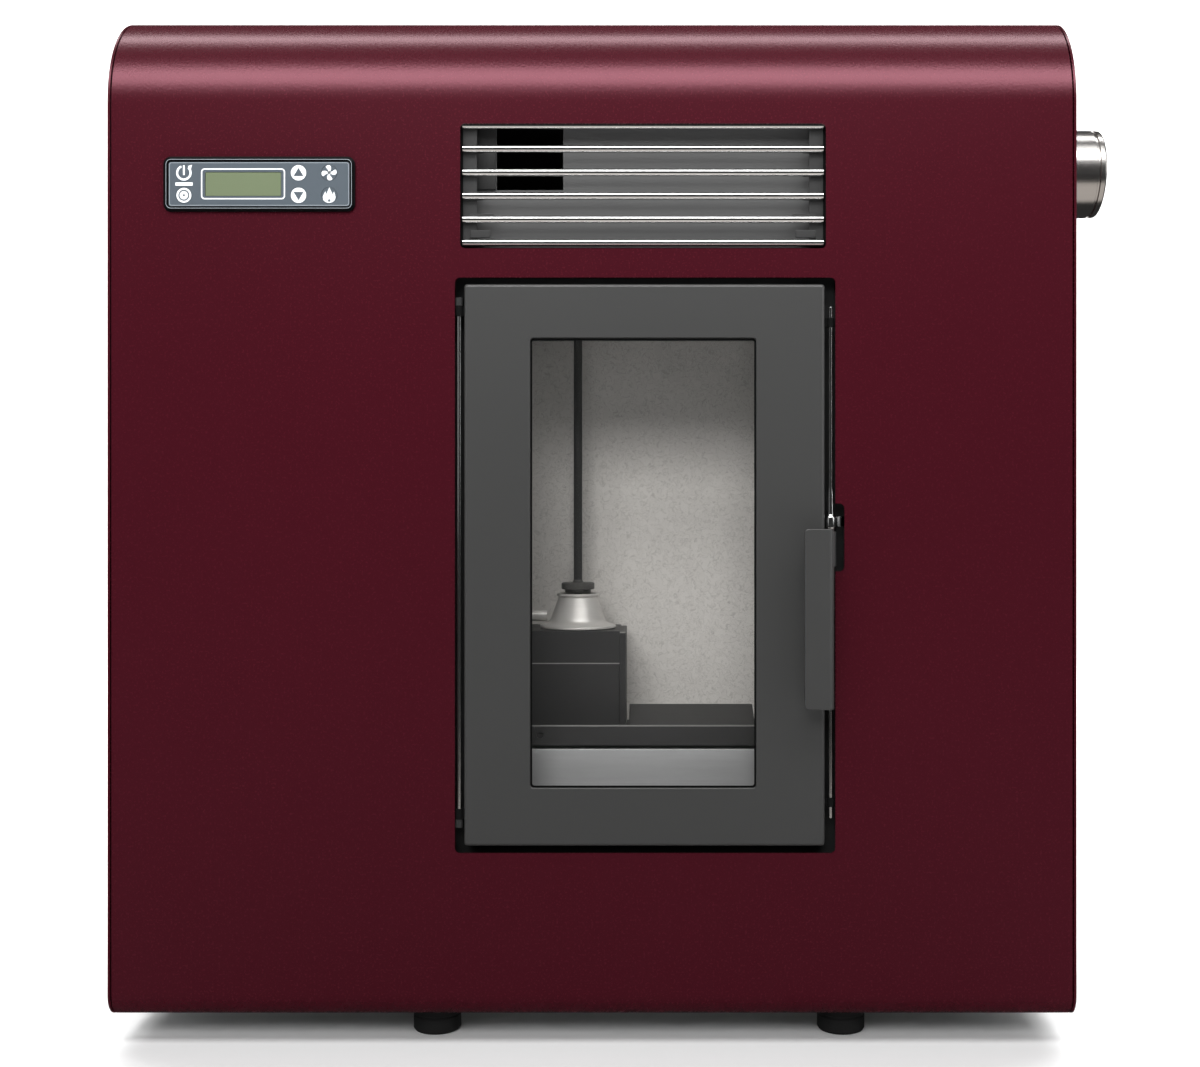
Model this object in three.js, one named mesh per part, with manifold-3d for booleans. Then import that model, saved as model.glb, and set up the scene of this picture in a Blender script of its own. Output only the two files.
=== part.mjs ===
// Pellet stove: a slim room heater with a bent sheet casing, a glazed fire door and a side flue.
// Millimetres. The drawing frame has X to the right from the casing's middle, Y back from its front face
// and Z up from the floor. The exported group is moved so that its origin is the base centre of the whole.
import * as THREE from 'three';
import { mergeVertices } from 'three/addons/utils/BufferGeometryUtils.js';
import Module from 'manifold-3d';

const wasm = await Module();
wasm.setup();

// Shared clearances
const seatGap = 0.3; // between pieces that rest on or fit into each other
const sliverTolerance = 0.005;
const looseGap = 1; // round a shaft that passes through thin sheet
const panelGap = 0.8; // shadow joint between the cover and the side panels

// Casing
const caseWidth = 860;
const caseDepth = 280;
const footHeight = 28;
const caseHeight = 907; // of the casing alone, above its feet
const coverSheet = 2;
const sideSheet = 2.2;
const rearSheet = 1.5;
const topBendRadius = 92;
const bottomBendRadius = 22;
const bottomLip = 14; // flat part of the cover turned back under the casing
const baseSheet = 3;
const sideFlange = 14; // turned-in edges of the side panels

// Feet
const footRadius = 21.8;
const footEdge = 3;
const footStudRadius = 4;
const footStudRise = 11; // above the base plate
const leftFeetX = -145.4;
const rightFeetX = 228.2;
const frontFeetY = 60;
const rearFeetGap = 48; // to the casing's back

// Openings in the cover
const doorHoleLeft = -121.7;
const doorHoleRight = 216;
const doorHoleBottom = 175.6;
const doorHoleDrop = 248.6; // of its top below the casing's top
const holeCorner = 4;
const notchDepth = 8; // step in the door hole beside the handle
const notchBottom = 425.6;
const notchTop = 485.9;
const grilleHoleLeft = -117;
const grilleHoleRight = 207.6;
const grilleHoleHeight = 110.9;
const grilleHoleDrop = 111.9; // of its top below the casing's top

// Hopper mouth and its lid on the casing's top
const mouthLeft = -400;
const mouthRight = -150;
const mouthDepth = 144; // front to back
const mouthInset = 30; // of its rear edge from the casing's back
const lidOverlap = 8;
const lidSheet = 2.5;
const lidRimDrop = 10;
const lidRimInset = 4;
const lidRimWall = 2;
const lidPinRadius = 2;
const lidBarrelRadius = 3;
const lidBarrelLength = 150;
const lidPinReach = 9;
const lidEarWidth = 8;
const lidEarRadius = 5;
const lidGripDepth = 9;
const lidGripWidth = 120;
const lidPinRise = 1; // of the barrel above and behind the lid's plate
const lidRearGap = 2; // between the plate's rear edge and the barrel

// Control panel
const panelLeft = -379.6;
const panelRight = -209.7;
const panelHeight = 48.9;
const panelDrop = 141.8; // of its top below the casing's top
const panelCorner = 7;
const bezelProud = 4;
const bezelRim = 4.6;
const bezelBody = 13; // behind the casing's front face
const bezelBodyInset = 2.2;
const membraneSunk = 1.4; // below the bezel's rim
const membraneThickness = 2.4;
const lcdWidth = 67;
const lcdHeight = 21;
const lcdMiddleX = -308.8;
const lcdThickness = 3.2;
const lcdSunk = 0.5;
const keyRadius = 6.9;
const keyThickness = 2;
const keyStemRadius = 2.5;
const keyTravel = 0.5;
const keyPitch = 19.9; // between the upper and the lower row
const modeKeysX = -361.2;
const arrowKeysX = -259.7;
const functionKeysX = -232.6;
const boardY = 6.6;
const boardThickness = 1.6;

// Warm air outlet
const rodCount = 6;
const rodRadius = 3.3;
const rodPitch = 20.95;
const rodEndGap = 1.4;
const lowestRodRise = 5.85; // above the grille hole's lower edge
const rodBehindCover = 0.7;
const outletPlateY = 25;
const outletSheet = 1.5;
const outletMargin = 12;
const railWidth = 14;
const airSlotLeft = -87;
const airSlotRight = -27;
const airSlotHeight = 51;
const airSlotInset = 3.1; // of its top from the grille hole's upper edge

// Door
const leafLeft = -113.2;
const leafRight = 206.3;
const leafBottom = 182.6;
const leafTopGap = 6; // to the door hole's upper edge
const leafProud = 3; // in front of the casing
const leafDepth = 18;
const leafSheet = 3;
const leafEdgeRadius = 2.5;
const leafRim = 22; // width of the turned-in rim behind
const leafRoundSteps = 3; // along the rounded front edge
const windowLeft = -54.6;
const windowRight = 145.5;
const windowBottom = 234.1;
const windowHead = 48; // from the leaf's upper edge
const windowCorner = 3;
const glassOverlap = 15;
const glassThickness = 4;
const retainerThickness = 3;
const retainerSpread = 9; // beyond the glass
const retainerBite = 10; // over the glass
const ropeWidth = 8;
const ropeInset = 5; // from the leaf's edge

// Door hinge
const hingeX = -118;
const hingeY = 2;
const hingeRodRadius = 2;
const hingeRodBottom = 198.5;
const hingeRodTopGap = 17.9; // to the door hole's upper edge
const hingeEarHeight = 7;
const hingeEarRadius = 3.4;
const hingeLugHeight = 9;
const lugWall = 1.1; // round the bore of a door lug

// Door latch and handle
const latchX = 212.1;
const latchY = 4;
const latchRodRadius = 2;
const latchRodBottom = 206.3;
const latchRodTopGap = 25.7; // to the door hole's upper edge
const latchLugHeight = 8;
const latchLugInset = 10; // of the lugs from the rod's ends
const knuckleRadius = 4.9;
const knuckleBottom = 463.5;
const knuckleTop = 476;
const knuckleChamfer = 1;
const knuckleFootHeight = 2; // of its rounded lower end
const knuckleNeckHeight = 3; // of its taper into the swelling
const swellRadius = 3;
const swellTop = 500;
const swellTaper = 8;
const gripWidth = 26.1;
const gripSetback = 1; // of the grip's right edge from the latch rod's middle
const gripThickness = 4;
const gripY = -35; // front face of the grip
const gripBottom = 307.4;
const gripTop = 464;
const gripCorner = 4;
const gripHubWall = 2.7;
const gripArmBottom = 430;
const gripArmTop = 461;
const gripLipDepth = 12; // of its right edge, turned back
const gripArmThickness = 4;
const keeperSheet = 1.2;
const keeperTip = -0.4;
const keeperCurl = 2.4;
const keeperFoot = 10;
const keeperHeight = 9;
const keeperCurlDepth = 2; // of the curled tip, front to back

// Firebox
const fireLeft = -96; // inner faces
const fireRight = 188;
const fireBottom = 194;
const fireTopGap = 8.4; // below the door's upper edge
const fireBackGap = 44; // to the casing's back
const fireWall = 4;
const fireFlangeY = 22;
const fireFlangeThickness = 3;
const fireFlangeReach = 40;
const fireMouthHead = 16;
const linerThickness = 31;
const baffleThickness = 3;
const baffleDrop = 20; // below the firebox's top
const baffleFront = 66;

// Burner
const burnerRight = 28.4;
const burnerDepth = 80;
const burnerBackGap = 14.7; // to the back liner
const burnerTop = 363.1;
const burnerWall = 3;
const coneX = -19.4;
const coneFlangeRadius = 37.9;
const coneTopRadius = 19.7;
const coneHeight = 34;
const coneWall = 2.2;
// The cone's outside, from its foot up: growth past the top rim, and height above its base.
const coneFlare = [[9.5, 5.5], [5.5, 11], [2.2, 26]];
const coneFlangeHeight = 2.5;
const agitatorRadius = 4.2;
const agitatorCollarRadius = 16.3;
const agitatorCollarHeight = 10;
const agitatorTailLength = 24; // below the collar
const collarChamfer = 1.5;
const collarWaist = 4; // height of the collar's widest line above its lower face
const igniterRadius = 5.4;
const igniterZ = 375;
const igniterRight = -49.5;
const shelfZ = 261.5;
const shelfSheet = 3;
const barFront = 60;
const barHeight = 19;
const ashSlotLeft = 40;
const ashSlotRight = 146;
const ashSlotInset = 8; // from the slope's front and rear edges
const slopeLeft = 31.5;
const slopeRight = 152.5;
const slopeDepth = 40;
const slopeRearZ = 288;
const slopeFrontZ = 273;
const slopeSheet = 2;

// Ash drawer
const drawerSideGap = 9;
const drawerHeight = 65;
const drawerFront = 52;
const drawerBackGap = 4.7; // to the back liner
const drawerWall = 2;
const drawerFace = 4;

// Pellet feed
const augerZ = 312;
const augerTubeRadius = 30;
const augerTubeWall = 2.5;
const augerTubeLeft = -332;
const augerFlightRadius = 24;
const augerFlightThickness = 3;
const augerShaftRadius = 7;
const augerShaftSides = 7;
const augerStepsPerTurn = 8;
const driveShaftRadius = 4;
const driveShaftReach = 18; // of the gearbox's shaft into the screw
const augerPitch = 38;
const augerRight = -24;
const hopperWall = 3;
const hopperFunnelDrop = 375; // below the casing's top
const hopperNeckLeft = -292;
const hopperNeckRight = -232;
const hopperNeckWidth = 44; // front to back
const hopperNeckTop = 372;
const gearboxLength = 34;
const gearboxSide = 84;
const motorLength = 48;
const motorRadius = 30;

// Agitator drive
const driveSide = 66;
const driveHeight = 30;
const driveMotorRadius = 24;
const driveMotorHeight = 42;
const driveGrip = 18; // of the agitator's end in the drive

// Exhaust fan and flue
const flueY = 135;
const flueDrop = 128.3; // of the stub's middle below the casing's top
const flueRadius = 42;
const flueWall = 2;
const flueRiserX = 330;
const flueBend = 62;
const stubReach = 56; // beyond the side panel
const stubBead = 1.6;
const stubBeadWidth = 4.8;
const stubBeadInset = 3.2; // from the stub's end
const flueOverlap = 8; // of the riser over the fan's neck
const rosetteGap = 1;
const fanZ = 205;
const fanHouseRadius = 84;
const fanHouseDepth = 84;
const fanHouseWall = 2;
const fanDuctBottom = 215;
const fanDuctTop = 262;
const fanDuctReach = 17; // of the duct in front of the flue's middle
const impellerRadius = 68;
const impellerHubRadius = 16;
const impellerBladeCount = 8;
const impellerBladeWidth = 5;
const impellerThickness = 36;
const fanShaftRadius = 4;
const fanMotorRadius = 40;
const fanMotorLength = 52;
const fanFootWidth = 90;
const fanFootThickness = 4;
const fanFootRise = 20; // of the foot's sides over the drum's lowest line
const fanNeckHeight = 36; // above the drum

// Combustion air
const airPipeRadius = 25;
const airPipeWall = 1.5;
const airPipeX = -40;
const airPipeZ = 300;
const airPipeReach = 28; // behind the casing

// Room air blower
const blowerLeft = -70;
const blowerRight = 130;
const blowerBackGap = 48; // of its middle to the casing's back
const blowerZ = 92;
const blowerSide = 74;
const blowerWall = 2;
const wheelRadius = 29;
const wheelBladeCount = 16;
const wheelGrooveDepth = 5;
const wheelShaftRadius = 4;
const wheelEndGap = 6;
const blowerMotorRadius = 27;
const blowerMotorLength = 44;

// Mains inlet and switch on the rear panel
const inletX = 350;
const inletZ = 120;
const inletWidth = 28;
const inletHeight = 24;
const inletDepth = 18;
const inletFlange = 4;
const inletPocket = 14;
const inletWall = 2;
const switchPitch = 46; // above the inlet
const switchWidth = 19;
const switchHeight = 26;
const switchDepth = 14;
const switchProud = 3;
const switchEndGap = 1; // above and below the rocker, for its tilt
const switchTilt = 8; // degrees, each way

// Rear louvres
const louvreRows = 7;
const louvrePitch = 16;
const louvreHeight = 5;
const louvreWidth = 190;
const louvreBottom = 60;
const louvreX = 30;
const upperLouvreDrop = 215; // below the casing's top

const roundSteps = 20; // sides of the larger round pieces
const coneSteps = 24; // sides of the burner cone, which shows through the window
const smallSteps = 12; // sides of pins, studs and rods
const bendSteps = 6; // along each bend of the casing

// Worked out from the sizes above
const halfWidth = caseWidth / 2;
const caseTop = footHeight + caseHeight;
const coverHalf = halfWidth - sideSheet - panelGap;
const rearFeetY = caseDepth - rearFeetGap;
const doorHoleTop = caseTop - doorHoleDrop;
const grilleHoleTop = caseTop - grilleHoleDrop;
const grilleHoleBottom = grilleHoleTop - grilleHoleHeight;
const mouthRear = caseDepth - mouthInset;
const mouthFront = mouthRear - mouthDepth;
const panelTop = caseTop - panelDrop;
const panelBottom = panelTop - panelHeight;
const lowestRodZ = grilleHoleBottom + lowestRodRise;
const airSlotTop = grilleHoleTop - airSlotInset;
const airSlotBottom = airSlotTop - airSlotHeight;
const leafTop = doorHoleTop - leafTopGap;
const windowTop = leafTop - windowHead;
const hingeRodTop = doorHoleTop - hingeRodTopGap;
const latchRodTop = doorHoleTop - latchRodTopGap;
const fireTop = leafTop - fireTopGap;
const fireBack = caseDepth - fireBackGap;
const baffleZ = fireTop - baffleDrop;
const leafFront = -leafProud;
const leafBack = leafFront + leafDepth;
const leafPlateBack = leafFront + leafSheet;
const baseTop = footHeight + coverSheet + seatGap + baseSheet;
const baseUnderside = baseTop - baseSheet;
const grilleRodY = coverSheet + rodBehindCover + rodRadius;
const lidAxisY = mouthRear + lidOverlap + lidBarrelRadius + lidPinRise;
const lidAxisZ = caseTop + seatGap + lidBarrelRadius + lidPinRise;
const panelMiddleZ = (panelBottom + panelTop) / 2;
const linerFront = fireBack - seatGap - linerThickness;
const burnerBack = linerFront - burnerBackGap;
const burnerFront = burnerBack - burnerDepth;
const coneY = (burnerFront + burnerBack) / 2;
const augerY = coneY;
const slopeRearY = burnerFront + slopeDepth;
const drawerBack = linerFront - drawerBackGap;
const hopperFunnelTop = caseTop - hopperFunnelDrop;
const flueZ = caseTop - flueDrop;
const fanDuctFront = flueY - fanDuctReach;
const blowerY = caseDepth - blowerBackGap;
const upperLouvreBottom = caseTop - upperLouvreDrop;
const shelfTop = shelfZ + shelfSheet;
const burnerBottom = shelfTop + seatGap;
const coneBase = burnerTop + seatGap;
const coneTop = coneBase + coneHeight;
const driveBottom = fireTop + fireWall + seatGap;

// ---- Shaping helpers ----
// Cuts reach 1 mm past the faces that they open, and joined solids reach 1 mm into each other.

function solidOf(geometry) {
  geometry.deleteAttribute('normal');
  geometry.deleteAttribute('uv');
  const merged = mergeVertices(geometry, 1e-4);
  return new wasm.Manifold(new wasm.Mesh({
    numProp: 3,
    vertProperties: Float32Array.from(merged.attributes.position.array),
    triVerts: Uint32Array.from(merged.index.array),
  }));
}

// Cuts leave slivers far thinner than any real edge, so points that nearly meet are brought together.
function geometryOf(solid) {
  const mesh = solid.setTolerance(sliverTolerance).getMesh();
  const geometry = new THREE.BufferGeometry();
  geometry.setAttribute('position', new THREE.BufferAttribute(mesh.vertProperties, 3));
  geometry.setIndex(new THREE.BufferAttribute(mesh.triVerts, 1));
  geometry.computeVertexNormals();
  return geometry;
}

function block(x0, x1, y0, y1, z0, z1) {
  const geometry = new THREE.BoxGeometry(x1 - x0, y1 - y0, z1 - z0);
  geometry.translate((x0 + x1) / 2, (y0 + y1) / 2, (z0 + z1) / 2);
  return solidOf(geometry);
}

// A round bar or disc along one axis, from one end to the other, about a point of the plane across it.
function barX(radius, x0, x1, y, z, sides = roundSteps) {
  const geometry = new THREE.CylinderGeometry(radius, radius, x1 - x0, sides);
  geometry.rotateZ(Math.PI / 2);
  geometry.translate((x0 + x1) / 2, y, z);
  return solidOf(geometry);
}

function barY(radius, y0, y1, x, z, sides = roundSteps) {
  const geometry = new THREE.CylinderGeometry(radius, radius, y1 - y0, sides);
  geometry.translate(x, (y0 + y1) / 2, z);
  return solidOf(geometry);
}

function barZ(radius, z0, z1, x, y, sides = roundSteps) {
  const geometry = new THREE.CylinderGeometry(radius, radius, z1 - z0, sides);
  geometry.rotateX(Math.PI / 2);
  geometry.translate(x, y, (z0 + z1) / 2);
  return solidOf(geometry);
}

// An outline drawn in X and Z, with its thickness along Y.
function slabXZ(outline, y0, y1, curveSegments = 2) {
  const depth = y1 - y0;
  const geometry = new THREE.ExtrudeGeometry(outline, { depth, bevelEnabled: false, curveSegments });
  geometry.rotateX(Math.PI / 2);
  geometry.translate(0, y1, 0);
  return solidOf(geometry);
}

// An outline drawn in Y and Z, with its length along X.
function slabYZ(outline, x0, x1, curveSegments = 12) {
  const depth = x1 - x0;
  const geometry = new THREE.ExtrudeGeometry(outline, { depth, bevelEnabled: false, curveSegments });
  geometry.applyMatrix4(new THREE.Matrix4().makeBasis(
    new THREE.Vector3(0, 1, 0),
    new THREE.Vector3(0, 0, 1),
    new THREE.Vector3(1, 0, 0),
  ));
  geometry.translate(x0, 0, 0);
  return solidOf(geometry);
}

// An outline drawn in X and Y, with its height along Z.
function slabXY(outline, z0, z1, curveSegments = 2) {
  const depth = z1 - z0;
  const geometry = new THREE.ExtrudeGeometry(outline, { depth, bevelEnabled: false, curveSegments });
  geometry.translate(0, 0, z0);
  return solidOf(geometry);
}

function roundRect(left, right, bottom, top, corner) {
  const outline = new THREE.Shape();
  outline.moveTo(left + corner, bottom);
  outline.lineTo(right - corner, bottom);
  outline.absarc(right - corner, bottom + corner, corner, -Math.PI / 2, 0, false);
  outline.lineTo(right, top - corner);
  outline.absarc(right - corner, top - corner, corner, 0, Math.PI / 2, false);
  outline.lineTo(left + corner, top);
  outline.absarc(left + corner, top - corner, corner, Math.PI / 2, Math.PI, false);
  outline.lineTo(left, bottom + corner);
  outline.absarc(left + corner, bottom + corner, corner, Math.PI, Math.PI * 1.5, false);
  return outline;
}

function polygon(points) {
  return new THREE.Shape(points.map(([a, b]) => new THREE.Vector2(a, b)));
}

// A profile of radius and height, from the bottom up on its outside, turned about a vertical axis.
function turned(profile, x, y, sides = roundSteps) {
  const points = profile.map(([radius, height]) => new THREE.Vector2(radius, height));
  const geometry = new THREE.LatheGeometry(points, sides);
  geometry.rotateX(Math.PI / 2);
  geometry.translate(x, y, 0);
  return solidOf(geometry);
}

// ---- Finishes ----

function finish(color, roughness, metalness) {
  return () => new THREE.MeshStandardMaterial({ color, roughness, metalness });
}

const redPaint = finish(0x56182a, 0.42, 0.35);
const greyPaint = finish(0x444544, 0.6, 0.3);
const blackPaint = finish(0x1c1c1c, 0.7, 0.1);
const galvanised = finish(0x8f9292, 0.45, 0.9);
const chrome = finish(0xd8d8d8, 0.12, 1);
const stainless = finish(0xb9b6b2, 0.3, 1);
const castIron = finish(0x35353a, 0.75, 0.6);
const rubber = finish(0x222222, 0.9, 0);
const glossBlack = finish(0x101012, 0.25, 0);
const slateFoil = finish(0x5d6870, 0.5, 0);
const lcdGreen = finish(0x79845f, 0.35, 0);
const whiteKey = finish(0xeceff2, 0.5, 0);
const boardGreen = finish(0x1f5a34, 0.6, 0);
const clearGlass = finish(0xc8ccd0, 0.05, 0);
const vermiculite = finish(0x9a948c, 0.95, 0);
const fibreRope = finish(0x2b2b2b, 1, 0);
const aluminium = finish(0xa7aaac, 0.4, 0.9);

const stove = new THREE.Group();

function piece(name, solid, material) {
  const mesh = new THREE.Mesh(geometryOf(solid), material());
  mesh.name = name;
  stove.add(mesh);
}

// ---- Casing ----

// The casing's side view, moved in from its outer face by the inset. It starts at the rear of the bottom.
function casingOutline(inset, bottomRear, topRear) {
  const front = inset;
  const bottom = footHeight + inset;
  const top = caseTop - inset;
  const low = bottomBendRadius - inset;
  const high = topBendRadius - inset;
  const outline = new THREE.Shape();
  outline.moveTo(bottomRear, bottom);
  outline.lineTo(front + low, bottom);
  outline.absarc(front + low, bottom + low, low, -Math.PI / 2, -Math.PI, true);
  outline.lineTo(front, top - high);
  outline.absarc(front + high, top - high, high, Math.PI, Math.PI / 2, true);
  outline.lineTo(topRear, top);
  return outline;
}

// The cover is one sheet: its outer line is followed up, and its inner line back down.
function coverSection() {
  const lipEnd = bottomBendRadius + bottomLip;
  const topEnd = caseDepth - rearSheet - seatGap;
  const outer = casingOutline(0, lipEnd, topEnd).getPoints(bendSteps);
  const inner = casingOutline(coverSheet, lipEnd, topEnd).getPoints(bendSteps).reverse();
  return new THREE.Shape(outer.concat(inner));
}

function doorHole() {
  const hole = roundRect(doorHoleLeft, doorHoleRight, doorHoleBottom, doorHoleTop, holeCorner);
  const notch = roundRect(
    doorHoleRight - holeCorner * 2, doorHoleRight + notchDepth, notchBottom, notchTop, holeCorner,
  );
  return slabXZ(hole, -1, coverSheet + 1).add(slabXZ(notch, -1, coverSheet + 1));
}

function lidEar(x) {
  const rear = lidAxisY + lidEarRadius;
  const plate = block(x, x + lidEarWidth, lidAxisY - lidEarRadius, rear, caseTop - 1, lidAxisZ);
  const head = barX(lidEarRadius, x, x + lidEarWidth, lidAxisY, lidAxisZ, smallSteps);
  const bore = barX(lidPinRadius + seatGap, x - 1, x + lidEarWidth + 1, lidAxisY, lidAxisZ, smallSteps);
  return plate.add(head).subtract(bore);
}

const mouthMiddle = (mouthLeft + mouthRight) / 2;
const lidEarLeftX = mouthMiddle - lidBarrelLength / 2 - seatGap - lidEarWidth;
const lidEarRightX = mouthMiddle + lidBarrelLength / 2 + seatGap;

function frontCover() {
  const grille = roundRect(grilleHoleLeft, grilleHoleRight, grilleHoleBottom, grilleHoleTop, holeCorner);
  const panel = block(
    panelLeft + bezelBodyInset - seatGap, panelRight - bezelBodyInset + seatGap, -1, coverSheet + 1,
    panelBottom + bezelBodyInset - seatGap, panelTop - bezelBodyInset + seatGap,
  );
  return slabYZ(coverSection(), -coverHalf, coverHalf)
    .subtract(doorHole())
    .subtract(slabXZ(grille, -1, coverSheet + 1))
    .subtract(panel)
    .subtract(block(mouthLeft, mouthRight, mouthFront, mouthRear, caseTop - coverSheet - 1, caseTop + 1))
    .add(lidEar(lidEarLeftX))
    .add(lidEar(lidEarRightX));
}

piece('front_cover', frontCover(), redPaint);

// A side panel is a flat plate with its rear and lower edges turned in.
function sidePanel(side) {
  const outline = casingOutline(0, caseDepth, caseDepth);
  const inner = halfWidth - sideSheet;
  const flangeRear = caseDepth - rearSheet - seatGap;
  const flangeTop = caseTop - coverSheet - seatGap - sideFlange;
  const span = (from, to) => (side < 0 ? [-to, -from] : [from, to]);
  const plate = slabYZ(outline, ...span(inner, halfWidth), bendSteps);
  const [x0, x1] = span(inner - sideFlange, inner + 1);
  const rearEdge = block(x0, x1, flangeRear - sideSheet, flangeRear, baseTop + seatGap, flangeTop);
  const lowerEdge = block(
    x0, x1, frontFeetY, flangeRear, baseTop + seatGap, baseTop + seatGap + sideSheet,
  );
  return plate.add(rearEdge).add(lowerEdge);
}

const flueHole = barX(flueRadius + rosetteGap, halfWidth - sideSheet - 1, halfWidth + 1, flueY, flueZ);
piece('side_panel_left', sidePanel(-1), redPaint);
piece('side_panel_right', sidePanel(1).subtract(flueHole), redPaint);

function cutLouvres(panel, bottom) {
  const left = louvreX - louvreWidth / 2;
  const front = caseDepth - rearSheet - 1;
  let slotted = panel;
  for (let row = 0; row < louvreRows; row += 1) {
    const z = bottom + row * louvrePitch;
    slotted = slotted.subtract(block(left, left + louvreWidth, front, caseDepth + 1, z, z + louvreHeight));
  }
  return slotted;
}

function rearPanel() {
  const reach = halfWidth - sideSheet - seatGap;
  const switchZ = inletZ + switchPitch;
  const cut = (x, z, width, height) => block(
    x - width / 2 - seatGap, x + width / 2 + seatGap, caseDepth - rearSheet - 1, caseDepth + 1,
    z - height / 2 - seatGap, z + height / 2 + seatGap,
  );
  const sheet = block(-reach, reach, caseDepth - rearSheet, caseDepth, footHeight, caseTop - seatGap);
  return cutLouvres(cutLouvres(sheet, louvreBottom), upperLouvreBottom)
    .subtract(barY(airPipeRadius + seatGap, caseDepth - rearSheet - 1, caseDepth + 1, airPipeX, airPipeZ))
    .subtract(cut(inletX, inletZ, inletWidth, inletHeight))
    .subtract(cut(inletX, switchZ, switchWidth, switchHeight));
}

piece('rear_panel', rearPanel(), blackPaint);

function basePlate() {
  const reach = coverHalf - seatGap;
  let plate = block(-reach, reach, bottomBendRadius, caseDepth - rearSheet - seatGap, baseUnderside, baseTop);
  const holeRadius = footStudRadius + seatGap;
  for (const x of [leftFeetX, rightFeetX]) {
    for (const y of [frontFeetY, rearFeetY]) {
      plate = plate.subtract(barZ(holeRadius, baseUnderside - 1, baseTop + 1, x, y, smallSteps));
    }
  }
  return plate;
}

piece('base_plate', basePlate(), galvanised);

function foot(x, y) {
  const top = baseUnderside - seatGap;
  return turned([
    [0, 0],
    [footRadius - footEdge, 0],
    [footRadius, footEdge],
    [footRadius, top],
    [footStudRadius, top],
    [footStudRadius, baseTop + footStudRise],
    [0, baseTop + footStudRise],
  ], x, y);
}

piece('foot_front_left', foot(leftFeetX, frontFeetY), rubber);
piece('foot_front_right', foot(rightFeetX, frontFeetY), rubber);
piece('foot_rear_left', foot(leftFeetX, rearFeetY), rubber);
piece('foot_rear_right', foot(rightFeetX, rearFeetY), rubber);

// The lid lies on the casing's top, with a rim that drops into the mouth and pins at its rear edge.
function hopperLid() {
  const under = caseTop + seatGap;
  const plate = block(
    mouthLeft - lidOverlap, mouthRight + lidOverlap, mouthFront - lidOverlap,
    mouthRear + lidOverlap - seatGap - lidRearGap, under, under + lidSheet,
  );
  const rimOuter = block(
    mouthLeft + lidRimInset, mouthRight - lidRimInset, mouthFront + lidRimInset, mouthRear - lidRimInset,
    under - lidRimDrop, under + 1,
  );
  const rimInner = block(
    mouthLeft + lidRimInset + lidRimWall, mouthRight - lidRimInset - lidRimWall,
    mouthFront + lidRimInset + lidRimWall, mouthRear - lidRimInset - lidRimWall,
    under - lidRimDrop - 1, under,
  );
  const half = lidBarrelLength / 2;
  const barrel = barX(
    lidBarrelRadius, mouthMiddle - half, mouthMiddle + half, lidAxisY, lidAxisZ, smallSteps,
  );
  const reach = half + lidPinReach;
  const pin = barX(lidPinRadius, mouthMiddle - reach, mouthMiddle + reach, lidAxisY, lidAxisZ, smallSteps);
  const web = block(
    mouthMiddle - half, mouthMiddle + half, mouthRear, lidAxisY, under, under + lidSheet,
  );
  const grip = block(
    mouthMiddle - lidGripWidth / 2, mouthMiddle + lidGripWidth / 2,
    mouthFront - lidOverlap - lidGripDepth, mouthFront - lidOverlap + 1, under, under + lidSheet,
  );
  return plate.add(rimOuter.subtract(rimInner)).add(web).add(barrel).add(pin).add(grip);
}

piece('hopper_lid', hopperLid(), redPaint);

// ---- Control panel ----

const bezelFront = -bezelProud;
const trayLeft = panelLeft + bezelRim;
const trayRight = panelRight - bezelRim;
const trayBottom = panelBottom + bezelRim;
const trayTop = panelTop - bezelRim;
const membraneFront = bezelFront + membraneSunk;
const membraneBack = membraneFront + membraneThickness;

function displayBezel() {
  const outline = roundRect(panelLeft, panelRight, panelBottom, panelTop, panelCorner);
  const flange = slabXZ(outline, bezelFront, -seatGap);
  const body = block(
    panelLeft + bezelBodyInset, panelRight - bezelBodyInset, -seatGap - 1, bezelBody,
    panelBottom + bezelBodyInset, panelTop - bezelBodyInset,
  );
  const trayOutline = roundRect(trayLeft, trayRight, trayBottom, trayTop, bezelRim / 2);
  const tray = slabXZ(trayOutline, bezelFront - 1, bezelBody + 1);
  return flange.add(body).subtract(tray);
}

const keySpots = {
  key_power: [modeKeysX, keyPitch / 2],
  key_standby: [modeKeysX, -keyPitch / 2],
  key_up: [arrowKeysX, keyPitch / 2],
  key_down: [arrowKeysX, -keyPitch / 2],
  key_fan: [functionKeysX, keyPitch / 2],
  key_flame: [functionKeysX, -keyPitch / 2],
};

function membrane() {
  const outline = roundRect(
    trayLeft + seatGap, trayRight - seatGap, trayBottom + seatGap, trayTop - seatGap, bezelRim / 2 - seatGap,
  );
  const halfLcd = lcdWidth / 2 + seatGap;
  const window = block(
    lcdMiddleX - halfLcd, lcdMiddleX + halfLcd, membraneFront - 1, membraneBack + 1,
    panelMiddleZ - lcdHeight / 2 - seatGap, panelMiddleZ + lcdHeight / 2 + seatGap,
  );
  let plate = slabXZ(outline, membraneFront, membraneBack).subtract(window);
  for (const [x, rise] of Object.values(keySpots)) {
    const z = panelMiddleZ + rise;
    plate = plate.subtract(barY(keyRadius + seatGap, membraneFront - 1, membraneBack + 1, x, z));
  }
  return plate;
}

function keycap(x, z) {
  const stemEnd = boardY - keyTravel - seatGap / 3;
  const cap = barY(keyRadius, membraneFront, membraneFront + keyThickness, x, z);
  return cap.add(barY(keyStemRadius, membraneFront + keyThickness / 2, stemEnd, x, z, smallSteps));
}

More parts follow.
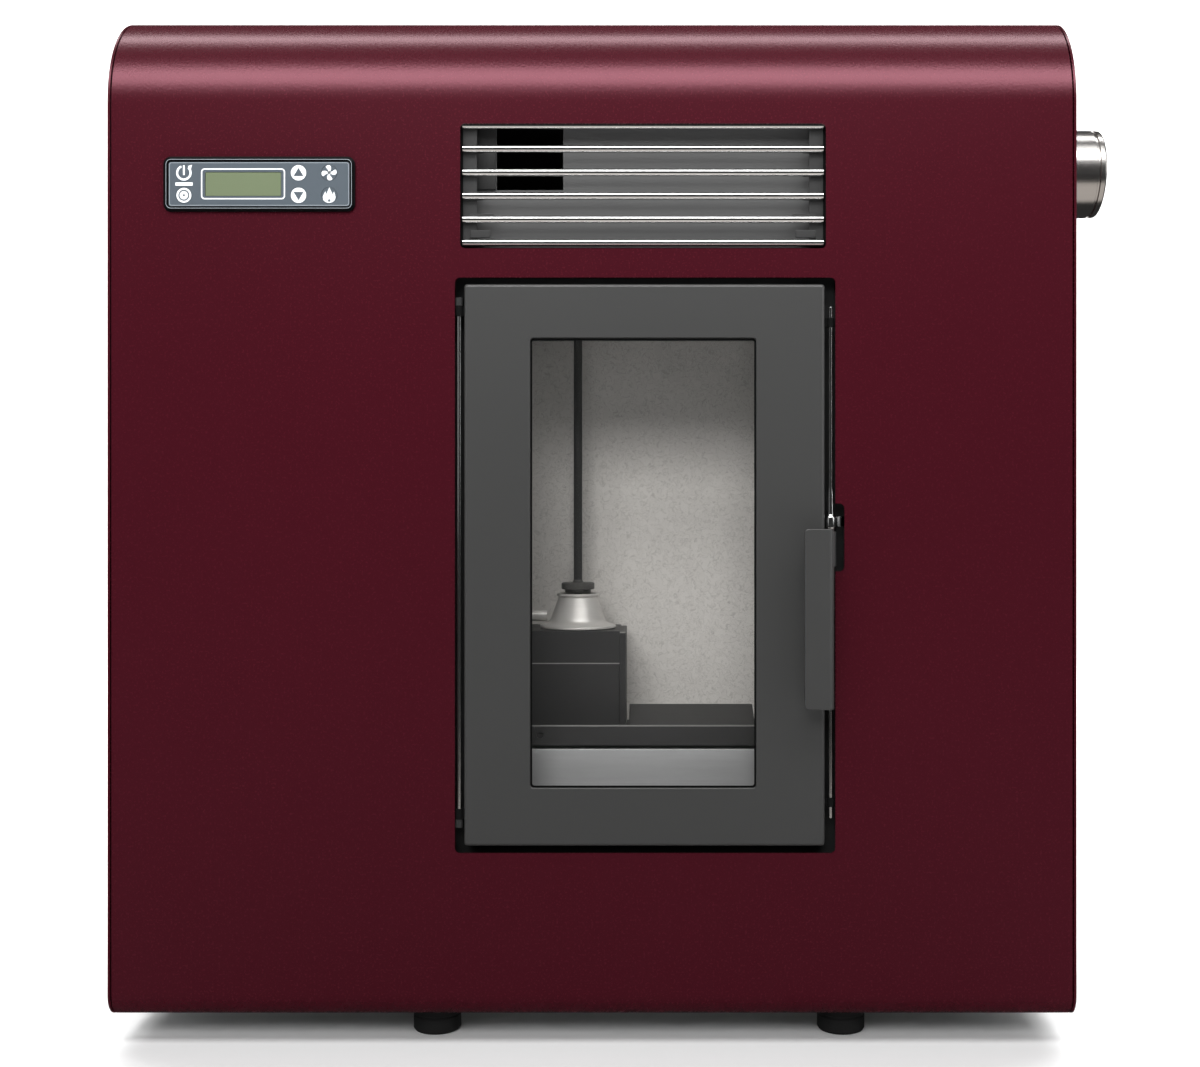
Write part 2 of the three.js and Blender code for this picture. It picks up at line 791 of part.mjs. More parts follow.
piece('display_bezel', displayBezel(), glossBlack);
piece('control_membrane', membrane(), slateFoil);
piece('lcd_window', block(
  lcdMiddleX - lcdWidth / 2, lcdMiddleX + lcdWidth / 2,
  membraneFront + lcdSunk, membraneFront + lcdSunk + lcdThickness,
  panelMiddleZ - lcdHeight / 2, panelMiddleZ + lcdHeight / 2,
), lcdGreen);
for (const [name, [x, rise]] of Object.entries(keySpots)) {
  piece(name, keycap(x, panelMiddleZ + rise), whiteKey);
}
piece('control_board', block(
  trayLeft + seatGap, trayRight - seatGap, boardY, boardY + boardThickness,
  trayBottom + seatGap + bezelRim / 2, trayTop - seatGap - bezelRim / 2,
), boardGreen);

// ---- Warm air outlet ----

// The outlet plate stands behind the rods and is turned forward at both ends into rails that carry them.
function outletFrame() {
  const left = grilleHoleLeft - outletMargin;
  const right = grilleHoleRight + outletMargin;
  const bottom = grilleHoleBottom - outletMargin;
  const top = grilleHoleTop + outletMargin;
  const railFront = grilleRodY + rodRadius + seatGap;
  const railBack = railFront + outletSheet;
  const plateBack = outletPlateY + outletSheet;
  const rail = (x0, x1, webX) => block(x0, x1, railFront, railBack, bottom, top)
    .add(block(webX, webX + outletSheet, railFront, plateBack, bottom, top));
  return block(left, right, outletPlateY, plateBack, bottom, top)
    .subtract(block(airSlotLeft, airSlotRight, outletPlateY - 1, plateBack + 1, airSlotBottom, airSlotTop))
    .add(rail(left, grilleHoleLeft + railWidth, left))
    .add(rail(grilleHoleRight - railWidth, right, right - outletSheet));
}

piece('air_outlet_frame', outletFrame(), greyPaint);
for (let index = 0; index < rodCount; index += 1) {
  const z = lowestRodZ + index * rodPitch;
  const from = grilleHoleLeft + rodEndGap;
  const to = grilleHoleRight - rodEndGap;
  piece('air_rod_' + (index + 1), barX(rodRadius, from, to, grilleRodY, z, smallSteps), chrome);
}

// ---- Door ----

function leafBody() {
  const edge = leafEdgeRadius;
  // The front edge is rounded by stacking three outlines that step in towards the face.
  let body = slabXZ(roundRect(leafLeft, leafRight, leafBottom, leafTop, edge), leafFront + edge, leafBack);
  for (let step = 1; step <= leafRoundSteps; step += 1) {
    const angle = (step / leafRoundSteps) * Math.PI / 2;
    const inset = edge * (1 - Math.cos(angle));
    const depth = edge * (1 - Math.sin(angle));
    const face = roundRect(leafLeft + inset, leafRight - inset, leafBottom + inset, leafTop - inset, edge);
    body = body.add(slabXZ(face, leafFront + depth, leafFront + edge + 1));
  }
  return body;
}

function doorFrame() {
  const hollow = block(
    leafLeft + leafSheet, leafRight - leafSheet, leafPlateBack, leafBack - leafSheet,
    leafBottom + leafSheet, leafTop - leafSheet,
  );
  const rearHole = block(
    leafLeft + leafRim, leafRight - leafRim, leafPlateBack, leafBack + 1,
    leafBottom + leafRim, leafTop - leafRim,
  );
  const view = roundRect(windowLeft, windowRight, windowBottom, windowTop, windowCorner);
  let frame = leafBody().subtract(hollow).subtract(rearHole);
  frame = frame.subtract(slabXZ(view, leafFront - 1, leafPlateBack + 1));
  const lowLug = hingeRodBottom + hingeEarHeight + seatGap;
  const highLug = hingeRodTop - hingeEarHeight - seatGap - hingeLugHeight;
  for (const z of [lowLug, highLug]) {
    frame = frame.add(doorLug(hingeX, hingeY, hingeRodRadius, z, hingeLugHeight, leafLeft + leafSheet / 2));
  }
  const lowGuide = latchRodBottom + latchLugInset;
  const highGuide = latchRodTop - latchLugInset - latchLugHeight;
  for (const z of [lowGuide, highGuide]) {
    frame = frame.add(doorLug(latchX, latchY, latchRodRadius, z, latchLugHeight, leafRight - leafSheet / 2));
  }
  return frame;
}

// A lug with a bore for an upright rod, joined to the door's edge.
function doorLug(x, y, rodSize, z, height, edgeX) {
  const radius = rodSize + seatGap + lugWall;
  const web = block(Math.min(x, edgeX), Math.max(x, edgeX), y - lugWall, y + radius, z, z + height);
  return barZ(radius, z, z + height, x, y, smallSteps)
    .add(web)
    .subtract(barZ(rodSize + seatGap, z - 1, z + height + 1, x, y, smallSteps));
}

piece('door_frame', doorFrame(), greyPaint);

const glassFront = leafPlateBack + seatGap;
const glassBack = glassFront + glassThickness;
piece('door_glass', block(
  windowLeft - glassOverlap, windowRight + glassOverlap, glassFront, glassBack,
  windowBottom - glassOverlap, windowTop + glassOverlap,
), clearGlass);

function ring(left, right, bottom, top, width, y0, y1) {
  return block(left, right, y0, y1, bottom, top)
    .subtract(block(left + width, right - width, y0 - 1, y1 + 1, bottom + width, top - width));
}

const retainerSide = glassOverlap + retainerSpread;
piece('glass_retainer', ring(
  windowLeft - retainerSide, windowRight + retainerSide,
  windowBottom - retainerSide, windowTop + retainerSide,
  retainerSpread + retainerBite, glassBack + seatGap, glassBack + seatGap + retainerThickness,
), blackPaint);

piece('door_rope_gasket', ring(
  leafLeft + ropeInset, leafRight - ropeInset, leafBottom + ropeInset, leafTop - ropeInset,
  ropeWidth, leafBack + seatGap, fireFlangeY - seatGap,
), fibreRope);

const hingeRod = barZ(hingeRodRadius, hingeRodBottom, hingeRodTop, hingeX, hingeY, smallSteps);
piece('door_hinge_rod', hingeRod, chrome);

function latchRod() {
  return turned([
    [0, latchRodBottom],
    [latchRodRadius, latchRodBottom],
    [latchRodRadius, knuckleBottom - knuckleChamfer],
    [knuckleRadius - knuckleChamfer, knuckleBottom],
    [knuckleRadius, knuckleBottom + knuckleFootHeight],
    [knuckleRadius, knuckleTop - knuckleNeckHeight],
    [swellRadius, knuckleTop],
    [swellRadius, swellTop - swellTaper],
    [latchRodRadius, swellTop],
    [latchRodRadius, latchRodTop],
    [0, latchRodTop],
  ], latchX, latchY, smallSteps);
}

piece('latch_rod', latchRod(), chrome);

// The grip is a flat bar in front of the door. An arm at its upper end turns back to a hub on the latch rod.
function doorHandle() {
  const right = latchX - gripSetback;
  const left = right - gripWidth;
  const hubRadius = latchRodRadius + seatGap + gripHubWall;
  const outline = roundRect(left, right, gripBottom, gripTop, gripCorner);
  const bar = slabXZ(outline, gripY, gripY + gripThickness);
  const lip = block(
    right - gripThickness, right, gripY + 1, gripY + gripLipDepth,
    gripBottom + gripCorner, gripTop - gripCorner,
  );
  const arm = block(right - gripArmThickness, right, gripY + 1, latchY, gripArmBottom, gripArmTop);
  const hub = barZ(hubRadius, gripArmBottom, gripArmTop, latchX, latchY, smallSteps);
  const boreRadius = latchRodRadius + seatGap / 2;
  const bore = barZ(boreRadius, gripArmBottom - 1, gripArmTop + 1, latchX, latchY, smallSteps);
  return bar.add(lip).add(arm).add(hub).subtract(bore);
}

piece('door_handle', doorHandle(), greyPaint);

// A sprung leaf beside the latch knuckle, with its tip curled outwards and its foot on the firebox front.
function latchKeeper() {
  const near = latchX + knuckleRadius + seatGap;
  const bottom = (knuckleBottom + knuckleTop - keeperHeight) / 2;
  const outline = polygon([
    [near, keeperTip + keeperCurlDepth],
    [near + keeperCurl, keeperTip],
    [near + keeperCurl + keeperSheet, keeperTip],
    [near + keeperSheet, keeperTip + keeperCurlDepth + keeperSheet],
    [near + keeperSheet, fireFlangeY - seatGap - keeperSheet],
    [near + keeperFoot, fireFlangeY - seatGap - keeperSheet],
    [near + keeperFoot, fireFlangeY - seatGap],
    [near, fireFlangeY - seatGap],
  ]);
  return slabXY(outline, bottom, bottom + keeperHeight);
}

piece('latch_keeper', latchKeeper(), chrome);

// ---- Firebox ----

function hingeEar(z) {
  const left = hingeX - hingeEarRadius + seatGap;
  return barZ(hingeEarRadius, z, z + hingeEarHeight, hingeX, hingeY, smallSteps)
    .add(block(left, hingeX + hingeEarRadius, hingeY, fireFlangeY + 1, z, z + hingeEarHeight))
    .subtract(barZ(hingeRodRadius + seatGap, z - 1, z + hingeEarHeight + 1, hingeX, hingeY, smallSteps));
}

const flangeBack = fireFlangeY + fireFlangeThickness;
const shellBack = fireBack + fireWall;
const standFoot = baseTop + seatGap;

function fireboxShell() {
  const left = fireLeft - fireWall;
  const right = fireRight + fireWall;
  const top = fireTop + fireWall;
  const mouth = block(
    fireLeft, fireRight, fireFlangeY - 1, flangeBack + 1, fireBottom, fireTop - fireMouthHead,
  );
  const front = block(
    fireLeft - fireFlangeReach, fireRight + fireFlangeReach, fireFlangeY, flangeBack,
    fireBottom - fireFlangeReach, fireTop + fireFlangeReach - fireMouthHead,
  ).subtract(mouth);
  const box = block(left, right, fireFlangeY, shellBack, fireBottom - fireWall, top)
    .subtract(block(fireLeft, fireRight, fireFlangeY - 1, fireBack, fireBottom, fireTop));
  const leftLeg = block(left, fireLeft, flangeBack, shellBack, standFoot, fireBottom);
  const rightLeg = block(fireRight, right, flangeBack, shellBack, standFoot, fireBottom);
  const augerHole = barX(augerTubeRadius + seatGap, left - 1, fireLeft + 1, augerY, augerZ);
  const rodHole = barZ(agitatorRadius + seatGap, fireTop - 1, top + 1, coneX, coneY, smallSteps);
  const airHole = barY(airPipeRadius + seatGap, fireBack - 1, shellBack + 1, airPipeX, airPipeZ);
  const smokeHole = block(
    fireRight - 1, right + 1, fanDuctFront, linerFront - 1, fanDuctBottom, fanDuctTop,
  );
  return box.subtract(block(fireLeft, fireRight, fireFlangeY - 1, flangeBack + 1, fireBottom - 1, fireTop))
    .add(front)
    .add(leftLeg)
    .add(rightLeg)
    .add(hingeEar(hingeRodBottom))
    .add(hingeEar(hingeRodTop - hingeEarHeight))
    .subtract(augerHole)
    .subtract(rodHole)
    .subtract(airHole)
    .subtract(smokeHole);
}

piece('firebox_shell', fireboxShell(), blackPaint);

const linerHole = barY(airPipeRadius + seatGap, linerFront - 1, fireBack + 1, airPipeX, airPipeZ);
piece('back_liner', block(
  fireLeft + seatGap, fireRight - seatGap, linerFront, linerFront + linerThickness,
  fireBottom + seatGap, baffleZ - seatGap,
).subtract(linerHole), vermiculite);

const baffleHole = barZ(
  agitatorRadius + looseGap, baffleZ - 1, baffleZ + baffleThickness + 1, coneX, coneY, smallSteps,
);
piece('baffle_plate', block(
  fireLeft + seatGap, fireRight - seatGap, baffleFront, fireBack - seatGap,
  baffleZ, baffleZ + baffleThickness,
).subtract(baffleHole), castIron);

// ---- Burner ----

function burnerBox() {
  const left = fireLeft + seatGap;
  const hollow = block(
    left + burnerWall, burnerRight - burnerWall, burnerFront + burnerWall, burnerBack - burnerWall,
    burnerBottom + burnerWall, burnerTop - burnerWall,
  );
  const throat = coneTopRadius - coneWall;
  const airBore = airPipeRadius - airPipeWall;
  return block(left, burnerRight, burnerFront, burnerBack, burnerBottom, burnerTop)
    .subtract(hollow)
    .subtract(barZ(throat, burnerTop - burnerWall - 1, burnerTop + 1, coneX, coneY))
    .subtract(barX(augerTubeRadius + seatGap, left - 1, left + burnerWall + 1, augerY, augerZ))
    .subtract(barY(airBore, burnerBack - burnerWall - 1, burnerBack + 1, airPipeX, airPipeZ));
}

piece('burner_box', burnerBox(), castIron);

// The burner throat flares at its foot and narrows to a plain rim.
function burnerCone() {
  const outside = [
    [coneFlangeRadius, coneBase],
    [coneFlangeRadius, coneBase + coneFlangeHeight],
    ...coneFlare.map(([growth, height]) => [coneTopRadius + growth, coneBase + height]),
    [coneTopRadius, coneTop],
  ];
  const inside = [
    [coneTopRadius - coneWall, coneTop],
    [coneTopRadius - coneWall, coneBase],
  ];
  const loop = outside.concat(inside);
  return turned(loop.concat([loop[0]]), coneX, coneY, coneSteps);
}

piece('burner_cone', burnerCone(), stainless);

const collarBottom = coneTop + seatGap;
const collarTop = collarBottom + agitatorCollarHeight;
piece('agitator_rod', turned([
  [0, collarBottom - agitatorTailLength],
  [agitatorRadius, collarBottom - agitatorTailLength],
  [agitatorRadius, collarBottom],
  [agitatorCollarRadius - collarChamfer, collarBottom],
  [agitatorCollarRadius, collarBottom + collarWaist],
  [agitatorCollarRadius - collarChamfer, collarTop],
  [agitatorRadius, collarTop],
  [agitatorRadius, driveBottom + driveGrip - seatGap],
  [0, driveBottom + driveGrip - seatGap],
], coneX, coneY, roundSteps), castIron);

function agitatorDrive() {
  const half = driveSide / 2;
  const top = driveBottom + driveHeight;
  const grip = barZ(
    agitatorRadius + seatGap, driveBottom - 1, driveBottom + driveGrip, coneX, coneY, smallSteps,
  );
  return block(coneX - half, coneX + half, coneY - half, coneY + half, driveBottom, top)
    .add(barZ(driveMotorRadius, top - 1, top + driveMotorHeight, coneX, coneY))
    .subtract(grip);
}

piece('agitator_gearmotor', agitatorDrive(), aluminium);

piece('igniter', barX(
  igniterRadius, fireLeft + seatGap, igniterRight, coneY, igniterZ, smallSteps,
), stainless);

// The ash shelf has a low bar along its front edge and a slot through which ash drops.
function ashBar() {
  const left = fireLeft + seatGap;
  const right = fireRight - seatGap;
  return block(left, right, barFront, linerFront - seatGap, shelfZ, shelfTop)
    .add(block(left, right, barFront, barFront + shelfSheet, shelfZ, shelfZ + barHeight))
    .subtract(block(
      ashSlotLeft, ashSlotRight, burnerFront + ashSlotInset, slopeRearY - ashSlotInset,
      shelfZ - 1, shelfTop + 1,
    ));
}

piece('ash_bar', ashBar(), castIron);

// A folded plate that stands over the slot and slopes up to the rear.
function slopePlate() {
  const foot = shelfTop + seatGap;
  const outline = polygon([
    [burnerFront, foot],
    [burnerFront + slopeSheet, foot],
    [burnerFront + slopeSheet, slopeFrontZ - slopeSheet],
    [slopeRearY - slopeSheet, slopeRearZ - slopeSheet],
    [slopeRearY - slopeSheet, foot],
    [slopeRearY, foot],
    [slopeRearY, slopeRearZ],
    [burnerFront, slopeFrontZ],
  ]);
  return slabYZ(outline, slopeLeft, slopeRight);
}

piece('ash_plate', slopePlate(), castIron);

function ashDrawer() {
  const left = fireLeft + drawerSideGap;
  const right = fireRight - drawerSideGap;
  const bottom = fireBottom + seatGap;
  const top = bottom + drawerHeight;
  return block(left, right, drawerFront, drawerBack, bottom, top)
    .subtract(block(
      left + drawerWall, right - drawerWall, drawerFront + drawerFace, drawerBack - drawerWall,
      bottom + drawerWall, top + 1,
    ));
}

piece('ash_drawer', ashDrawer(), galvanised);

// ---- Pellet feed ----

const neckFront = augerY - hopperNeckWidth / 2;
const neckRear = augerY + hopperNeckWidth / 2;

function frustum(lower, upper) {
  const corners = (box) => [
    [box.x0, box.y0, box.z],
    [box.x1, box.y0, box.z],
    [box.x1, box.y1, box.z],
    [box.x0, box.y1, box.z],
  ];
  const geometry = new THREE.BufferGeometry();
  const points = corners(lower).concat(corners(upper)).flat();
  geometry.setAttribute('position', new THREE.Float32BufferAttribute(points, 3));
  geometry.setIndex([
    0, 2, 1, 0, 3, 2,
    4, 5, 6, 4, 6, 7,
    0, 1, 5, 0, 5, 4,
    1, 2, 6, 1, 6, 5,
    2, 3, 7, 2, 7, 6,
    3, 0, 4, 3, 4, 7,
  ]);
  return solidOf(geometry);
}

// The bin's walls stand under the cover's sheet, with their inner faces in line with the mouth.
function hopperForm(inset) {
  const reach = hopperWall - inset;
  const x0 = mouthLeft - reach;
  const x1 = mouthRight + reach;
  const y0 = mouthFront - reach;
  const y1 = mouthRear + reach;
  const neck = {
    x0: hopperNeckLeft + inset, x1: hopperNeckRight - inset, y0: neckFront + inset, y1: neckRear - inset,
  };
  const top = caseTop - coverSheet - seatGap;
  const neckBottom = augerZ;
  return block(x0, x1, y0, y1, hopperFunnelTop, top + (inset ? 1 : 0))
    .add(frustum({ ...neck, z: hopperNeckTop }, { x0, x1, y0, y1, z: hopperFunnelTop }))
    .add(block(neck.x0, neck.x1, neck.y0, neck.y1, neckBottom, hopperNeckTop));
}

function pelletHopper() {
  return hopperForm(0)
    .subtract(hopperForm(hopperWall))
    .subtract(barX(augerTubeRadius + seatGap, hopperNeckLeft - 1, hopperNeckRight + 1, augerY, augerZ));
}

piece('pellet_hopper', pelletHopper(), galvanised);

const augerBore = augerTubeRadius - augerTubeWall;
const tubeRight = fireLeft + seatGap + burnerWall;

function augerTube() {
  const inletHole = block(
    hopperNeckLeft + hopperWall, hopperNeckRight - hopperWall, neckFront + hopperWall, neckRear - hopperWall,
    augerZ, augerZ + augerTubeRadius + 1,
  );
  return barX(augerTubeRadius, augerTubeLeft, tubeRight, augerY, augerZ)
    .subtract(barX(augerBore, augerTubeLeft - 1, tubeRight + 1, augerY, augerZ))
    .subtract(inletHole);
}

piece('auger_tube', augerTube(), galvanised);

// The screw is a round shaft with one fin, drawn as a section and twisted evenly along its length.
function augerScrew() {
  const finHalf = (augerFlightThickness / augerPitch) * Math.PI;
  const outline = [];
  for (const angle of [-finHalf, finHalf]) {
    outline.push([augerFlightRadius * Math.cos(angle), augerFlightRadius * Math.sin(angle)]);
  }
  for (let side = 0; side <= augerShaftSides; side += 1) {
    const angle = finHalf + (side / augerShaftSides) * (Math.PI * 2 - finHalf * 2);
    outline.push([augerShaftRadius * Math.cos(angle), augerShaftRadius * Math.sin(angle)]);
  }
  const left = augerTubeLeft + seatGap;
  const length = augerRight - left;
  const steps = Math.ceil((length / augerPitch) * augerStepsPerTurn);
  const screw = new THREE.ExtrudeGeometry(polygon(outline), { depth: length, steps, bevelEnabled: false });
  const position = screw.attributes.position;
  for (let index = 0; index < position.count; index += 1) {
    const along = position.getZ(index);
    const turn = (along / augerPitch) * Math.PI * 2;
    const a = position.getX(index) * Math.cos(turn) - position.getY(index) * Math.sin(turn);
    const b = position.getX(index) * Math.sin(turn) + position.getY(index) * Math.cos(turn);
    position.setXYZ(index, left + along, augerY + a, augerZ + b);
  }
  const socketRadius = driveShaftRadius + seatGap;
  return solidOf(screw)
    .subtract(barX(socketRadius, left - 1, left + driveShaftReach, augerY, augerZ, smallSteps));
}

piece('auger_screw', augerScrew(), stainless);

function augerDrive() {
  const right = augerTubeLeft - seatGap;
  const left = right - gearboxLength;
  const half = gearboxSide / 2;
  return block(left, right, augerY - half, augerY + half, augerZ - half, augerZ + half)
    .add(barX(motorRadius, left - motorLength, left + 1, augerY, augerZ))
    .add(barX(driveShaftRadius, right - 1, right + driveShaftReach, augerY, augerZ, smallSteps));
}

piece('auger_gearmotor', augerDrive(), aluminium);

// ---- Exhaust fan and flue ----

const fanHouseFront = flueY - fanHouseDepth / 2;
const fanHouseBack = flueY + fanHouseDepth / 2;
const ductLeft = fireRight + fireWall + seatGap;
const outletTop = fanZ + fanHouseRadius + fanNeckHeight;

function exhaustHousing() {
  const inner = fanHouseRadius - fanHouseWall;
  const ductBack = linerFront - 1;
  const drum = barY(fanHouseRadius, fanHouseFront, fanHouseBack, flueRiserX, fanZ);
  const neck = barZ(flueRadius - seatGap - flueWall, fanZ, outletTop, flueRiserX, flueY);
  const duct = block(ductLeft, flueRiserX, fanDuctFront, ductBack, fanDuctBottom, fanDuctTop);
  const legTop = fanZ - fanHouseRadius + fanFootRise;
  const legs = block(
    flueRiserX - fanFootWidth / 2, flueRiserX + fanFootWidth / 2, fanHouseFront, fanHouseBack,
    baseTop + seatGap, legTop,
  ).subtract(block(
    flueRiserX - fanFootWidth / 2 + fanFootThickness, flueRiserX + fanFootWidth / 2 - fanFootThickness,
    fanHouseFront - 1, fanHouseBack + 1, baseTop + seatGap + fanFootThickness, legTop + 1,
  ));
  const wall = fanHouseWall;
  const ductInside = block(
    ductLeft - 1, flueRiserX, fanDuctFront + wall, ductBack - wall, fanDuctBottom + wall, fanDuctTop - wall,
  );
  const shaftHole = barY(
    fanShaftRadius + looseGap, fanHouseFront - 1, fanHouseFront + wall + 1, flueRiserX, fanZ, smallSteps,
  );
  return drum.add(neck).add(duct).add(legs)
    .subtract(barY(inner, fanHouseFront + wall, fanHouseBack - wall, flueRiserX, fanZ))
    .subtract(barZ(flueRadius - seatGap - flueWall * 2, fanZ, outletTop + 1, flueRiserX, flueY))
    .subtract(ductInside)
    .subtract(shaftHole);
}

piece('exhaust_housing', exhaustHousing(), galvanised);

function impeller() {
  const front = flueY - impellerThickness / 2;
  const back = flueY + impellerThickness / 2;
  let wheel = barY(impellerHubRadius, front, back, flueRiserX, fanZ)
    .add(barY(impellerRadius, back - fanHouseWall, back, flueRiserX, fanZ));
  const bladeFrom = impellerHubRadius / 2 - 1;
  const bladeTo = impellerRadius - 1;
  for (let index = 0; index < impellerBladeCount; index += 1) {
    const blade = new THREE.BoxGeometry(bladeTo - bladeFrom, impellerThickness, impellerBladeWidth);
    blade.translate((bladeFrom + bladeTo) / 2, 0, 0);
    blade.rotateY((index / impellerBladeCount) * Math.PI * 2);
    blade.translate(flueRiserX, flueY, fanZ);
    wheel = wheel.add(solidOf(blade));
  }
  const boreRadius = fanShaftRadius + seatGap;
  return wheel.subtract(barY(boreRadius, front - 1, back - fanHouseWall, flueRiserX, fanZ, smallSteps));
}

piece('exhaust_impeller', impeller(), stainless);

function fanMotor() {
  const back = fanHouseFront - seatGap;
  const shaftEnd = flueY + impellerThickness / 2 - fanHouseWall - seatGap;
  return barY(fanMotorRadius, back - fanMotorLength, back, flueRiserX, fanZ)
    .add(barY(fanShaftRadius, back - 1, shaftEnd, flueRiserX, fanZ, smallSteps));
}

piece('exhaust_motor', fanMotor(), blackPaint);

// The flue rises from the fan, turns to the right and leaves the side panel as a stub with a rolled rim.
const flueBendSteps = 7;
const quarterArcPull = 0.5523; // of the radius, for a quarter circle drawn as one cubic curve

function flueElbow(radius) {
  const low = new THREE.Vector3(flueRiserX, flueY, flueZ - flueBend);
  const high = new THREE.Vector3(flueRiserX + flueBend, flueY, flueZ);
  const pull = flueBend * quarterArcPull;
  const centreLine = new THREE.CubicBezierCurve3(
    low, new THREE.Vector3(low.x, flueY, low.z + pull), new THREE.Vector3(high.x - pull, flueY, high.z), high,
  );
  const round = new THREE.Shape();
  round.absarc(0, 0, radius, 0, Math.PI * 2, false);
  return solidOf(new THREE.ExtrudeGeometry(round, {
    steps: flueBendSteps, curveSegments: roundSteps / 2, extrudePath: centreLine, bevelEnabled: false,
  }));
}

function fluePipe() {
  const bottom = outletTop - flueOverlap;
  const end = halfWidth + stubReach;
  const tube = (radius, extra) => flueElbow(radius)
    .add(barZ(radius, bottom - extra, flueZ - flueBend + 1, flueRiserX, flueY))
    .add(barX(radius, flueRiserX + flueBend - 1, end + extra, flueY, flueZ));
  const beadEnd = end - stubBeadInset;
  const bead = barX(flueRadius + stubBead, beadEnd - stubBeadWidth, beadEnd, flueY, flueZ);
  return tube(flueRadius, 0).add(bead).subtract(tube(flueRadius - flueWall, 1));
}

piece('flue_pipe', fluePipe(), stainless);

// ---- Combustion air ----

const airPipeFront = burnerBack + seatGap;
const airPipeEnd = caseDepth + airPipeReach;
const inletTube = barY(airPipeRadius, airPipeFront, airPipeEnd, airPipeX, airPipeZ)
  .subtract(barY(airPipeRadius - airPipeWall, airPipeFront - 1, airPipeEnd + 1, airPipeX, airPipeZ));
piece('air_inlet_pipe', inletTube, galvanised);

// ---- Room air blower ----

function blowerHousing() {
  const half = blowerSide / 2;
  const wall = blowerWall;
  const bottom = baseTop + seatGap;
  const holeRadius = wheelShaftRadius + seatGap;
  const shaftHole = barX(holeRadius, blowerLeft - 1, blowerRight + 1, blowerY, blowerZ, smallSteps);
  return block(blowerLeft, blowerRight, blowerY - half, blowerY + half, bottom, blowerZ + half)
    .subtract(block(
      blowerLeft + wall, blowerRight - wall, blowerY - half + wall, blowerY + half - wall,
      bottom + wall, blowerZ + half + 1,
    ))
    .subtract(shaftHole);
}

piece('blower_housing', blowerHousing(), galvanised);

const wheelShaftEnd = blowerRight + blowerMotorLength / 3;

function blowerWheel() {
  const x0 = blowerLeft + blowerWall + wheelEndGap;
  const x1 = blowerRight - blowerWall - wheelEndGap;
  const grooveRadius = wheelRadius - wheelGrooveDepth;
  const blade = [[0, wheelRadius], [0.35, wheelRadius], [0.5, grooveRadius], [0.85, grooveRadius]];
  const outline = [];
  for (let index = 0; index < wheelBladeCount; index += 1) {
    for (const [share, radius] of blade) {
      const angle = ((index + share) / wheelBladeCount) * Math.PI * 2;
      outline.push([blowerY + radius * Math.cos(angle), blowerZ + radius * Math.sin(angle)]);
    }
  }
  return slabYZ(polygon(outline), x0, x1)
    .add(barX(wheelShaftRadius, blowerLeft, wheelShaftEnd, blowerY, blowerZ, smallSteps));
}

piece('blower_wheel', blowerWheel(), galvanised);

const blowerMotorLeft = blowerRight + seatGap;
const blowerMotorRight = blowerMotorLeft + blowerMotorLength;
const wheelSocket = barX(
  wheelShaftRadius + seatGap, blowerMotorLeft - 1, wheelShaftEnd + seatGap, blowerY, blowerZ, smallSteps,
);
const blowerMotor = barX(blowerMotorRadius, blowerMotorLeft, blowerMotorRight, blowerY, blowerZ);
piece('blower_motor', blowerMotor.subtract(wheelSocket), blackPaint);

// ---- Mains inlet and switch ----

function mainsInlet() {
  const body = block(
    inletX - inletWidth / 2, inletX + inletWidth / 2, caseDepth - inletDepth, caseDepth + 1,
    inletZ - inletHeight / 2, inletZ + inletHeight / 2,
  );
  const rear = caseDepth + seatGap + inletWall;
  const flange = block(
    inletX - inletWidth / 2 - inletFlange, inletX + inletWidth / 2 + inletFlange, caseDepth + seatGap, rear,
    inletZ - inletHeight / 2 - inletFlange, inletZ + inletHeight / 2 + inletFlange,
  );
  const pocket = block(
    inletX - inletWidth / 2 + inletWall, inletX + inletWidth / 2 - inletWall, rear - inletPocket, rear + 1,
    inletZ - inletHeight / 2 + inletWall, inletZ + inletHeight / 2 - inletWall,
  );
  return body.add(flange).subtract(pocket);
}

piece('mains_inlet', mainsInlet(), glossBlack);

const switchZ = inletZ + switchPitch;
const switchAxisY = caseDepth - rearSheet / 2;

// The rocker rests tipped one way about a level axis just inside the panel.
function rockerSwitch() {
  const halfWide = switchWidth / 2;
  const halfTall = switchHeight / 2 - switchEndGap;
  const geometry = new THREE.BoxGeometry(halfWide * 2, switchDepth / 2, halfTall * 2);
  geometry.translate(0, switchProud - switchDepth / 4, 0);
  geometry.rotateX(THREE.MathUtils.degToRad(-switchTilt));
  geometry.translate(inletX, switchAxisY, switchZ);
  return solidOf(geometry);
}

piece('rocker_switch', rockerSwitch(), glossBlack);

// ---- Placing ----

const farthestBack = airPipeEnd;
stove.position.set(-stubReach / 2, -(gripY + farthestBack) / 2, 0);

export default stove;
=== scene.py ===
# Dresses the pellet stove: a bent red casing, a glazed door on upright rods, a rod grille and a side flue.
import math

import bmesh
import bpy
from mathutils import Matrix, Vector


